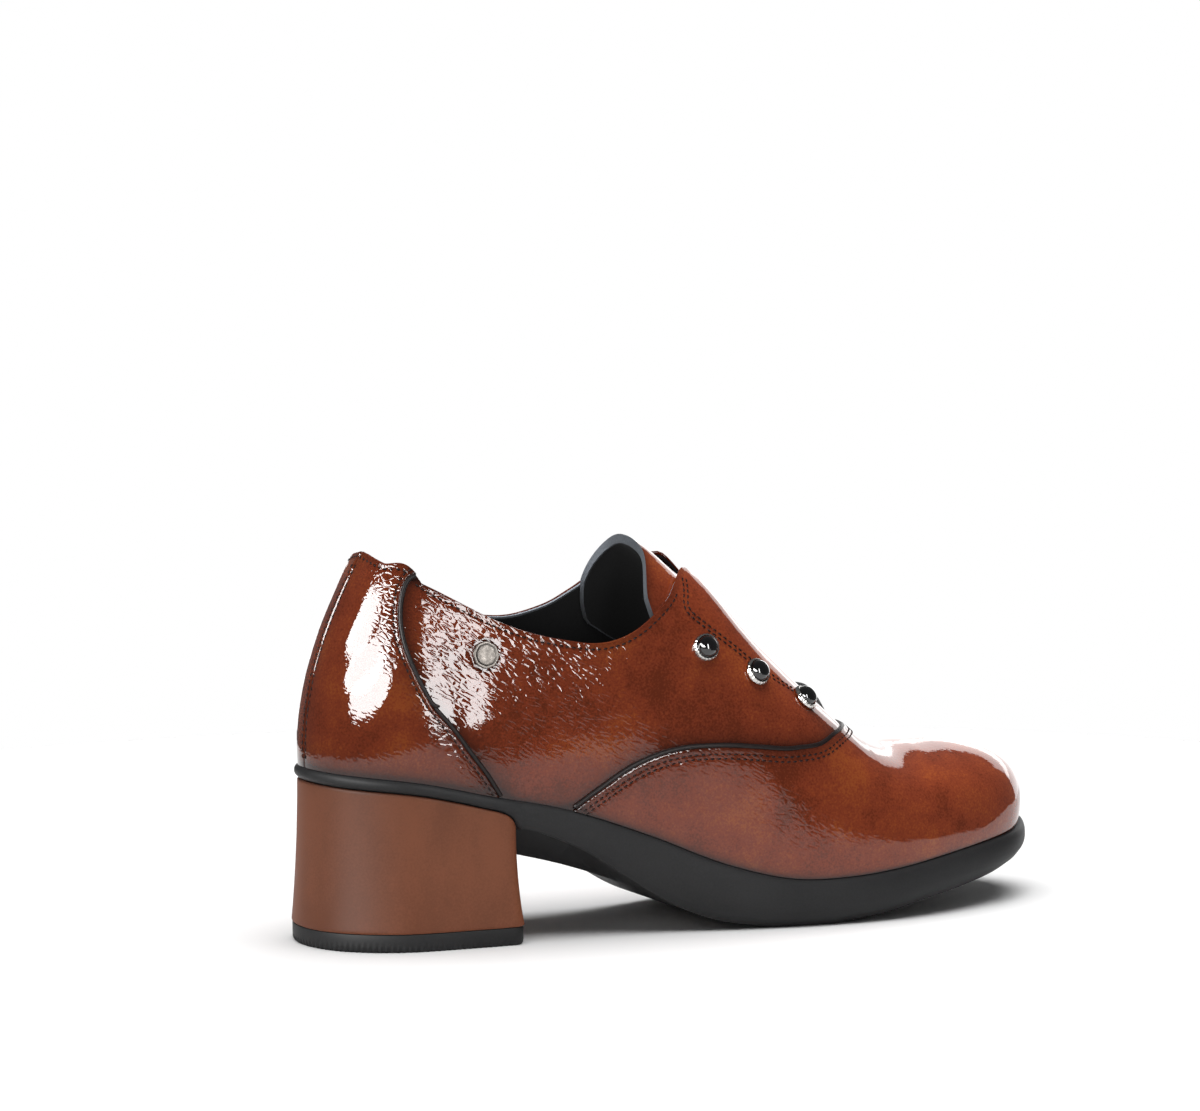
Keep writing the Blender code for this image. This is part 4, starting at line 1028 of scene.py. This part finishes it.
def make_tongue(shoe):
    """An arched sheet along the instep: patent outside, suede inside, its cut edge showing.

    It is the last's surface one wall and a gap further in; its free end curls off the instep by a smooth step along
    the foot and up the arch, and is skewed so that its outer wing reaches further forward.
    """
    station = np.concatenate([TONGUE_TOP + np.array([0, 0.003, 0.007, 0.012, 0.018, 0.026, 0.036, 0.048]),
                              np.linspace(1.445, TONGUE_END, 56)])
    wing = np.radians(np.interp(station, TONGUE_TOP + np.array([0, 0.008, 0.02, 0.06]), [54, 46, 42, 41]))
    fade = (TONGUE_END - station) / (TONGUE_END - TONGUE_TOP)
    across = np.concatenate([[0, 0.004, 0.010, 0.018, 0.03], np.linspace(0.05, 1, 34)])[:, None]
    rise = wing + (math.pi / 2 - wing) * across
    crown = ease(math.radians(50), math.radians(78), rise)
    curl = (TONGUE_CURL * (1 - ease(TONGUE_TOP, CURL_END, station)) * crown)[..., None]

    def grid(depth):
        """Points of both wings at a depth under the last."""
        rows = [last_surface(station + TONGUE_SHIFT * fade * crown - side * TONGUE_SKEW * np.cos(rise) * fade, rise,
                             side, -depth) + curl * normal_at(station, rise, side) for side in SIDES]
        return np.concatenate([rows[0], rows[1][::-1][1:]])

    depth = WALL + TONGUE_CLEARANCE
    front, middle, back = grid(depth), grid(depth + TONGUE_FACE), grid(depth + TONGUE_THICKNESS)
    gap = gap_to(np.concatenate([front[0], front[:, 0], front[-1]]), front)
    burnish = 0.7 * np.exp(-gap / (2 * MM))
    item = shell("tongue_face", front, middle, finish(patent_leather, shoe),
                 values={"burnish": burnish, "crease": np.full(front.shape[:2], 0.25)}, rim=finish(cut_edge, shoe))
    cut = 0.8 * (1 - ease(0.2 * MM, 0.6 * MM, gap))
    backing = shell("tongue_lining", middle, back, finish(lining_suede, shoe), values={"cut": cut},
                    rim=finish(cut_edge, shoe))
    return item


def make_elastic(shoe):
    """The elastic across the throat: flat at its upper end, then arched out of the gap by a parabola across and a sine
    along, most at its lower end. Its weave is laid out by two values in millimetres."""
    station = np.linspace(GORE_TOP, GORE_END, 60)
    across = np.linspace(-1, 1, 41)[:, None]
    half = THROAT_HALF_GAP - 2 * CLEARANCE
    swell = np.sin(math.pi * 0.9 * np.clip((station - GORE_SWELL_START) / (GORE_END - GORE_SWELL_START), 0, 1) ** 1.6)
    back = -(WALL + TONGUE_CLEARANCE - CLEARANCE)
    front = back + GORE_THICKNESS + (GORE_BULGE - back - GORE_THICKNESS) * (1 - across**2) * swell
    outer, inner = [], []
    for place, stand in zip(across[:, 0], front):
        side = -1 if place < 0 else 1
        rise = rise_at_reach(station, side, np.full(len(station), abs(place) * half))
        outer.append(last_surface(station, rise, side, stand))
        inner.append(last_surface(station, rise, side, back))
    values = {"across": np.broadcast_to(across * half / MM, front.shape),
              "along": np.broadcast_to((station - GORE_TOP) * STATION_MM, front.shape)}
    item = shell("elastic", np.array(outer), np.array(inner), finish(woven_elastic, shoe), values=values)
    return item


def make_sock(shoe):
    """The sock: a deck that follows the feather edge's height, inside the lining, with an eased top edge."""
    station = np.concatenate([np.linspace(0, 1, 60), np.linspace(1, 2, 120)[1:], np.linspace(2, 3, 60)[1:]])
    levels = []
    for inset, height in ((0, 0), (0, INSOLE_THICKNESS - 0.4 * MM), (0.4 * MM, INSOLE_THICKNESS)):
        plans = [edge_point(station, side, -WALL - 2 * CLEARANCE - inset) for side in SIDES]
        tops = [feather_z(edge_point(station, side)[:, 0]) + CLEARANCE + height for side in SIDES]
        levels.append(np.concatenate([np.stack(plans), np.stack(tops)[..., None]], axis=-1))
    item = decked("sock", levels, finish(lining_suede, shoe))
    return item


# Sole and heel


def flare(height_share):
    """How far the heel spreads: the square of the share of the way down."""
    return HEEL_FLARE * (1 - height_share) ** 2


def rim_under(x):
    """Height of the underside of the sole's rim over the heel."""
    return feather_z(x) - smooth(SOLE, SEAT, x / SHOE_LENGTH) * RIM_THICKNESS


def tread_z(share):
    """Height of the sole's underside in front of the heel, flat on the floor under the ball."""
    lift = smooth(SOLE, WAIST_LIFT, share) * HEEL_RISE + smooth(SOLE, TOE_LIFT, share) * TOE_SPRING
    return np.maximum(lift, 0)


def make_sole(shoe):
    """Unit sole: its side is a smooth curve through SOLE_SIDE, from the feather edge out and down to the tread."""
    step = station_at(HEEL_BREAST + CLEARANCE + flare(0.5))
    seat = np.concatenate([np.linspace(0, 1, 90)[:-1], np.linspace(1, step, 40)])
    station = np.concatenate([seat, np.linspace(step, 2, 150)[:-1], np.linspace(2, 3, 110)])
    over_heel = np.arange(len(station)) < len(seat)
    knots = np.column_stack([np.linspace(0, 1, len(SOLE_SIDE)), SOLE_SIDE])
    run = np.linspace(0, 1, 26)
    sides = []
    for side in SIDES:
        x = edge_point(station, side)[:, 0]
        top = feather_z(x)
        low = np.where(over_heel, rim_under(x), tread_z(x / SHOE_LENGTH))
        margin = smooth(SOLE, MARGIN, x / SHOE_LENGTH) * SOLE_MARGIN
        rings = [np.column_stack([edge_point(station, side, out * margin), top - down * (top - low)])
                 for out, down in zip(smooth(knots, 1, run), smooth(knots, 2, run))]
        pivot, direction, reach = foot_of_rib(station, side)
        for inset, keeled in ((0.08 * TREAD_INSET, 0.0), (0.25 * TREAD_INSET, 0.0), (TREAD_INSET, 0.0),
                              (reach * 0.45, 0.6), (reach * 0.6, 1.0)):
            ring = pivot + direction * (reach - inset)[..., None]
            share = ring[:, 0] / SHOE_LENGTH
            keel = np.maximum(smooth(SOLE, KEEL, share), 0) * SOLE_THICKNESS * keeled
            rings.append(np.column_stack([ring, np.where(over_heel, rim_under(ring[:, 0]), tread_z(share) - keel)]))
        sides.append(rings[::-1])
    item = decked("sole", [np.stack(pair) for pair in zip(*sides)], finish(moulded_rubber, shoe))
    return item


def heel_plan(side, outward, front, count, teeth):
    """Outline in plan of one side of the heel, out to a flat front with a rounded corner.

    teeth is the depth of a row of notches round the side: a raised cosine along the outline.
    """
    last = station_at(front - HEEL_CORNER)
    station = np.concatenate([np.linspace(0, 1, count)[:-1], np.linspace(1, last, count // 3)])
    run = np.concatenate([[0], np.cumsum(np.linalg.norm(np.diff(edge_point(station, side), axis=0), axis=1))])
    notches = 0.5 - 0.5 * np.cos(2 * math.pi * run / NOTCH_PITCH)
    angles = np.radians(np.linspace(6, 90, 15))
    swing = np.stack([np.sin(angles), side * (np.cos(angles) - 1)], axis=-1)
    return np.concatenate([edge_point(station, side, outward - teeth * notches),
                           edge_point(station[-1:], side, outward) + swing * HEEL_CORNER])


def heel_level(height_share, foot, inset=0.0, count=90, teeth=0.0):
    """One level of the heel between the plane z = foot and the underside of the sole's rim."""
    out = HEEL_MARGIN + flare(height_share) - inset
    front = HEEL_BREAST + flare(height_share) - inset
    plan = np.stack([heel_plan(side, out, front, count, teeth) for side in SIDES])
    height = foot + (rim_under(plan[..., 0]) - 0.02 * MM - foot) * height_share
    return np.concatenate([plan, height[..., None]], axis=-1)


def make_heel(shoe):
    """Heel block with eased edges, and the rubber top lift under it with a fine notched edge at the floor.

    The block spreads with the square of the way down, and a quarter ellipse eases its edges.
    """
    foot = shoe.lift_thickness + 0.05 * MM
    shares = np.concatenate([[0, 0.004, 0.010, 0.018], np.linspace(0.03, 0.97, 40), [0.984, 0.992, 0.997, 1.0]])
    ends = np.clip(np.minimum(shares, 1 - shares) / 0.018, 0, 1)
    insets = 0.55 * MM * (1 - np.sqrt(1 - (1 - ends) ** 2))
    block = decked("heel_block", [heel_level(s, foot, i) for s, i in zip(shares, insets)],
                   finish(covered_heel, shoe))
    levels = []
    for height, inset, teeth in TOP_LIFT_LEVELS:
        level = heel_level(0, 0, TOP_LIFT_INSET + inset * MM, 260, teeth * MM)
        level[..., 2] = height * MM / TOP_LIFT_THICKNESS * shoe.lift_thickness
        levels.append(level)
    lift = decked("top_piece", levels, finish(moulded_rubber, shoe))
    return [block, lift]


# Studs and badge


def turning_frame(station, rise, side):
    """Centre, normal, and two directions in the leather at a place on the last."""
    at, ahead = last_surface(np.array([station, station + 0.004]), np.array([rise, rise]), side)
    normal = normal_at(np.array([station]), np.array([rise]), side)[0]
    along = ahead - at
    along = unit(along - normal * (along @ normal))
    return at, normal, along, np.cross(normal, along)


def turned(name, place, profile, material, waves=None, values=None, count=64):
    """A profile of radius and height turned about the last's normal; waves scale each radius round the turn."""
    at, normal, along, across = place
    angles = np.linspace(0, 2 * math.pi, count, endpoint=False)
    spokes = np.outer(np.cos(angles), along) + np.outer(np.sin(angles), across)
    profile = np.asarray(profile, float)
    scale = np.ones((len(profile), count)) if waves is None else waves(angles, profile)
    verts = at + spokes[None] * (profile[:, :1] * scale)[..., None] + normal * profile[:, 1][:, None, None]
    return make_piece(name, verts, ring_faces(len(profile), count), material, values, sharp=35)


def make_studs(shoe):
    """Cabochons in polished cups whose rim is cut into small rounded claws.

    The claws are a squared raised cosine round the rim; the dome is a quarter turn of an ellipse.
    """
    radius = STUD_DIAMETER / 2
    arc = np.radians(np.linspace(0, 90, 14))
    inner = radius - 0.9 * MM
    cup = [(0, 0.0), *((radius + out * MM, height * MM) for out, height in STUD_CUP), (0, 0.6 * MM)]
    dome = [(0, 0.65 * MM), (inner, 0.65 * MM), *((inner * math.cos(a), (1.3 + 3.0 * math.sin(a)) * MM) for a in arc)]
    for side, word in ((-1, "outer"), (1, "inner")):
        for k, (station, degrees) in enumerate(STUDS):
            place = turning_frame(station, math.radians(degrees), side)
            bezel = turned(f"bezel_{word}_{k + 1}", place, cup, finish(polished_nickel, shoe), count=176,
                           waves=lambda a, p: 1 - 0.035 * (0.5 - 0.5 * np.cos(22 * a)) ** 2 * (p[:, 1:] > 0.9 * MM))
            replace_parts(bezel, f"stud_bezel_{word}_{k + 1}")
            stone = turned(f"cabochon_{word}_{k + 1}", place, dome, finish(onyx_glass, shoe))
            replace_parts(stone, f"stud_stone_{word}_{k + 1}")


def make_badge(shoe):
    """A plain cast disc with a softly eight-sided raised rim: the rim's radius follows a cosine."""
    radius = BADGE_DIAMETER / 2
    place = turning_frame(BADGE_SPOT[0], math.radians(BADGE_SPOT[1]), -1)
    profile = [(0, 0.0), *((radius + out * MM, height * MM) for out, height in BADGE_RIM),
               (radius * 0.35, 0.72 * MM), (0, 0.75 * MM)]
    item = turned("badge_disc", place, profile, finish(aged_nickel, shoe), count=96,
                  waves=lambda a, p: 1 + 0.018 * np.cos(8 * a) * (p[:, :1] > radius * 0.5),
                  values={"hollow": np.repeat(BADGE_HOLLOW, 96)})
    return item


# Stage

CAMERA_AZIMUTH = math.radians(-25.5)
CAMERA_PITCH = math.radians(5.2)
IMAGE_WIDTH = 1200
CAMERA_FOCAL_PX = 4450.0
CAMERA_DISTANCE = CAMERA_FOCAL_PX / 3250.0              # 3.25 pixels a millimetre at the anchor
ANCHOR = np.array([62.0, -25.0, 0.0]) * MM - ORIGIN     # foot of the heel's front corner
ANCHOR_PX = (523 - 600, 941 - 555.5)                    # where the photograph has it, from the middle

FLOOR_CUT = 0.54                  # share of the floor's radius that is cut off in front of the toe


def make_camera():
    """The camera looks level but for its pitch, so the anchor's pixel alone settles where it stands."""
    turn, pitch = CAMERA_AZIMUTH, CAMERA_PITCH
    back = np.array([math.sin(turn) * math.cos(pitch), -math.cos(turn) * math.cos(pitch), math.sin(pitch)])
    right = np.array([math.cos(turn), math.sin(turn), 0])
    up = np.cross(back, right)
    shift = (up * ANCHOR_PX[1] - right * ANCHOR_PX[0]) / CAMERA_FOCAL_PX
    spot = ANCHOR + (back + shift) * CAMERA_DISTANCE
    data = bpy.data.cameras.new("camera")
    data.sensor_width = 36
    data.lens = CAMERA_FOCAL_PX / IMAGE_WIDTH * data.sensor_width
    data.clip_start = 0.05
    data.clip_end = 50
    camera = bpy.data.objects.new("camera", data)
    camera.location = spot
    camera.rotation_euler = (math.pi / 2 - pitch, 0, turn)
    bpy.context.scene.collection.objects.link(camera)
    bpy.context.scene.camera = camera


def around(azimuth, distance, height):
    """A place at an azimuth in degrees, a distance in plan and a height; azimuth 0 is on the shoe's outer side."""
    return distance * math.sin(math.radians(azimuth)), -distance * math.cos(math.radians(azimuth)), height


def make_light(name, spot, width, tall, radiance, aim=(0, 0, 0.05), soft=False, shape="RECTANGLE"):
    """A lamp that faces its aim; its power is its radiance times pi times its area.

    The softboxes shine in gloss alone, and the soft light alone lights the colours, so that they stay even.
    """
    data = bpy.data.lights.new(name, "AREA")
    data.shape = shape
    data.size = width
    data.size_y = tall
    data.energy = radiance * math.pi * width * tall
    item = bpy.data.objects.new(name, data)
    item.location = spot
    item.rotation_euler = (Vector(aim) - item.location).to_track_quat("-Z", "Y").to_euler()
    item.visible_camera = False
    item.visible_glossy = not soft
    item.visible_diffuse = soft
    bpy.context.scene.collection.objects.link(item)


def make_world(shoe):
    """Pale to the camera; to the shoe a dim studio, so that only the softboxes and the paper shine in the patent."""
    world = bpy.data.worlds.new("studio")
    world.use_nodes = True
    tree = world.node_tree
    tree.nodes.clear()
    sight = node(tree, "LightPath", out="Is Camera Ray")
    dim = node(tree, "Background", {"Color": (1, 1, 1, 1), "Strength": shoe.room_light})
    pale = node(tree, "Background", {"Color": (1, 1, 1, 1), "Strength": 1.0})
    node(tree, "OutputWorld", {"Surface": node(tree, "MixShader", {0: sight, 1: dim, 2: pale})})
    bpy.context.scene.world = world


def make_stage(shoe):
    """The paper floor, a disc of rings and spokes, with lamps, world and camera.

    Its radius is cut back between two smooth steps of the direction, from 12 to 19 and from 75 to 100 degrees round
    from the outer side to the toe, so that the paper ends in front of the toe.
    """
    angles = np.linspace(0, 2 * math.pi, 96, endpoint=False)
    radius = np.linspace(0, shoe.floor_radius, 12)
    turn = np.degrees(np.arctan2(np.cos(angles), -np.sin(angles)))
    cut = 1 - FLOOR_CUT * ease(12, 19, turn) * (1 - ease(75, 100, turn))
    verts = np.stack([np.outer(radius, cut * np.cos(angles)), np.outer(radius, cut * np.sin(angles)),
                      np.zeros((12, 96))], axis=-1)
    mesh = bpy.data.meshes.new("paper_floor")
    mesh.from_pydata(verts.reshape(-1, 3).tolist(), [], ring_faces(12, 96).tolist())
    mesh.materials.append(finish(studio_paper, shoe))
    floor = bpy.data.objects.new("paper_floor", mesh)
    bpy.context.scene.collection.objects.link(floor)
    make_light("softbox_left", around(-55, 2.0, 0.40), 1.50, 0.46, shoe.left_light, shape="ELLIPSE")
    make_light("softbox_left_mid", around(-67, 2.0, 0.68), 1.66, 0.52, shoe.left_light, shape="ELLIPSE")
    make_light("softbox_left_top", around(-90, 2.0, 1.03), 1.25, 0.46, shoe.left_light, shape="ELLIPSE")
    make_light("strip_near", (-0.030, -0.215, 0.126), 0.036, 0.145, shoe.near_light, aim=(-0.085, -0.030, 0.085))
    make_light("backdrop_glow", around(143, 1.9, 0.16), 2.0, 0.72, shoe.back_light)
    make_light("rim_box", around(132, 1.9, 0.62), 1.1, 0.6, shoe.back_light)
    make_light("overhead", (0, -0.01, 2.2), 2.2, 2.2, shoe.top_light, aim=(0, 0, 0), soft=True)
    make_world(shoe)
    make_camera()
    bpy.context.scene.view_settings.view_transform = "Standard"


# Add-on


def colour_of(value, name, description):
    """A colour setting from an sRGB hex value."""
    return bpy.props.FloatVectorProperty(name=name, description=description, subtype="COLOR", size=3, min=0, max=1,
                                         default=hex_colour(value))


def length_of(value, name, description):
    """A length setting in metres."""
    return bpy.props.FloatProperty(name=name, description=description, default=value, min=0, unit="LENGTH")


def light_of(value, name, description):
    """A brightness setting."""
    return bpy.props.FloatProperty(name=name, description=description, default=value, min=0)


class ShoeFinish(bpy.types.PropertyGroup):
    """Sizes and colours that a user may change before making the pieces."""
    leather_colour: colour_of("#883a20", "Leather", "Main tone of the burnished patent leather")
    leather_dark: colour_of("#6c2d15", "Leather, dark", "Dark clouds of the burnish")
    leather_light: colour_of("#a04e24", "Leather, light", "Light clouds of the burnish")
    # this colour also paints the shade in the ring round the badge
    edge_burnish_and_shade: colour_of("#34140a", "Leather edge", "Burnish along edges and seams")
    lining_colour: colour_of("#0d0d10", "Lining", "Suede of the lining and sock")
    cut_edge: colour_of("#989fa8", "Cut edge", "Cut edge of the suede")
    piping_colour: colour_of("#2c2423", "Piping", "Leather of the piping")
    thread_colour: colour_of("#2a120c", "Thread", "Stitching thread")
    sole_colour: colour_of("#333334", "Sole", "Sole and top lift")
    heel_colour: colour_of("#8c543b", "Heel", "Lacquer of the heel block")
    elastic_colour: colour_of("#3a3a3c", "Elastic", "Elastic in the throat")
    metal_colour: colour_of("#d8d6d2", "Metal", "Nickel of the studs and badge")
    badge_colour: colour_of("#77726d", "Badge", "Cast nickel of the badge")
    stone_colour: colour_of("#08080a", "Stone", "Glass of the studs")
    floor_colour: colour_of("#f4f4f4", "Floor", "Studio paper")
    piping_width: length_of(1.5 * MM, "Piping width", "Diameter of the piping")
    stitch_pitch: length_of(2.1 * MM, "Stitch pitch", "Distance from one stitch to the next")
    thread_width: length_of(0.5 * MM, "Thread width", "Diameter of the thread")
    lift_thickness: length_of(TOP_LIFT_THICKNESS, "Top lift thickness", "Rubber between the heel and the floor")
    grain_depth: length_of(0.07 * MM, "Grain depth", "Depth of the creases in the patent film")
    floor_radius: length_of(0.47, "Floor radius", "Radius of the paper disc")
    left_light: light_of(18.0, "Left softbox", "Radiance of the softbox on the left")
    near_light: light_of(17.0, "Near strip", "Radiance of the strip light close to the heel")
    back_light: light_of(1.7, "Backdrop", "Radiance of the lit backdrop behind the shoe")
    top_light: light_of(5.0, "Overhead", "Radiance of the overhead light")
    room_light: light_of(0.12, "Room", "Brightness of the dim room around")


class PieceOperator:
    """What the operators share: they can be undone."""
    bl_options = {"REGISTER", "UNDO"}


class SHOE_OT_sole(PieceOperator, bpy.types.Operator):
    """Make the unit sole in place of its solid"""
    bl_idname = "shoe.sole"
    bl_label = "Sole"

    def execute(self, context):
        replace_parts(make_sole(context.scene.shoe_finish), "outsole")
        return {"FINISHED"}


class SHOE_OT_heel(PieceOperator, bpy.types.Operator):
    """Make the heel block and its top lift"""
    bl_idname = "shoe.heel"
    bl_label = "Heel"

    def execute(self, context):
        block, lift = make_heel(context.scene.shoe_finish)
        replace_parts(block, "heel")
        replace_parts(lift, "top_lift")
        return {"FINISHED"}


class SHOE_OT_lining(PieceOperator, bpy.types.Operator):
    """Make the suede lining and the sock"""
    bl_idname = "shoe.lining"
    bl_label = "Lining and sock"

    def execute(self, context):
        make_lining(context.scene.shoe_finish)
        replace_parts(make_sock(context.scene.shoe_finish), "insole")
        return {"FINISHED"}


class SHOE_OT_quarters(PieceOperator, bpy.types.Operator):
    """Make the two quarters in place of the upper's solid"""
    bl_idname = "shoe.quarters"
    bl_label = "Quarters"

    def execute(self, context):
        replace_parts(make_quarter(-1, "quarter_outer", context.scene.shoe_finish), "upper")
        make_quarter(1, "quarter_inner", context.scene.shoe_finish)
        return {"FINISHED"}


class SHOE_OT_counter(PieceOperator, bpy.types.Operator):
    """Make the counter round the heel"""
    bl_idname = "shoe.counter"
    bl_label = "Counter"

    def execute(self, context):
        make_counter(context.scene.shoe_finish)
        return {"FINISHED"}


class SHOE_OT_vamp(PieceOperator, bpy.types.Operator):
    """Make the vamp over the toes"""
    bl_idname = "shoe.vamp"
    bl_label = "Vamp"

    def execute(self, context):
        make_vamp(context.scene.shoe_finish)
        return {"FINISHED"}


class SHOE_OT_piping(PieceOperator, bpy.types.Operator):
    """Make the piping along the counter and the vamp"""
    bl_idname = "shoe.piping"
    bl_label = "Piping"

    def execute(self, context):
        make_piping(context.scene.shoe_finish)
        return {"FINISHED"}


class SHOE_OT_stitching(PieceOperator, bpy.types.Operator):
    """Make all rows of stitches"""
    bl_idname = "shoe.stitching"
    bl_label = "Stitching"

    def execute(self, context):
        make_stitching(context.scene.shoe_finish)
        return {"FINISHED"}


class SHOE_OT_tongue(PieceOperator, bpy.types.Operator):
    """Make the tongue and the elastic over it"""
    bl_idname = "shoe.tongue"
    bl_label = "Tongue and elastic"

    def execute(self, context):
        face = make_tongue(context.scene.shoe_finish)
        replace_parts(face, "tongue")
        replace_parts(make_elastic(context.scene.shoe_finish), "elastic_gore")
        return {"FINISHED"}


class SHOE_OT_studs(PieceOperator, bpy.types.Operator):
    """Make the studs on both flaps and the badge"""
    bl_idname = "shoe.studs"
    bl_label = "Studs and badge"

    def execute(self, context):
        make_studs(context.scene.shoe_finish)
        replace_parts(make_badge(context.scene.shoe_finish), "badge")
        return {"FINISHED"}


class SHOE_OT_stage(PieceOperator, bpy.types.Operator):
    """Set up the floor, lights and camera"""
    bl_idname = "shoe.stage"
    bl_label = "Studio"

    def execute(self, context):
        make_stage(context.scene.shoe_finish)
        return {"FINISHED"}


STEPS = (SHOE_OT_sole, SHOE_OT_heel, SHOE_OT_lining, SHOE_OT_quarters, SHOE_OT_counter, SHOE_OT_vamp,
         SHOE_OT_piping, SHOE_OT_stitching, SHOE_OT_tongue, SHOE_OT_studs, SHOE_OT_stage)


class SHOE_PT_panel(bpy.types.Panel):
    """Lists the shoe's settings and its pieces"""
    bl_idname = "SHOE_PT_panel"
    bl_label = "Heeled shoe"
    bl_space_type = "VIEW_3D"
    bl_region_type = "UI"
    bl_category = "Shoe"

    def draw(self, context):
        for key in ShoeFinish.__annotations__:
            self.layout.prop(context.scene.shoe_finish, key)
        for step in STEPS:
            self.layout.operator(step.bl_idname)


CLASSES = (ShoeFinish, *STEPS, SHOE_PT_panel)


def register():
    """Registers the classes and puts the settings on the scene."""
    for each in CLASSES:
        bpy.utils.register_class(each)
    bpy.types.Scene.shoe_finish = bpy.props.PointerProperty(type=ShoeFinish)


def unregister():
    """Takes the settings off the scene and unregisters the classes."""
    del bpy.types.Scene.shoe_finish
    for each in reversed(CLASSES):
        bpy.utils.unregister_class(each)


def main():
    """Makes every piece through the operators, in order."""
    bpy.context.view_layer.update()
    register()
    for step in STEPS:
        family, name = step.bl_idname.split(".")
        getattr(getattr(bpy.ops, family), name)()


if __name__ == "__main__":
    main()
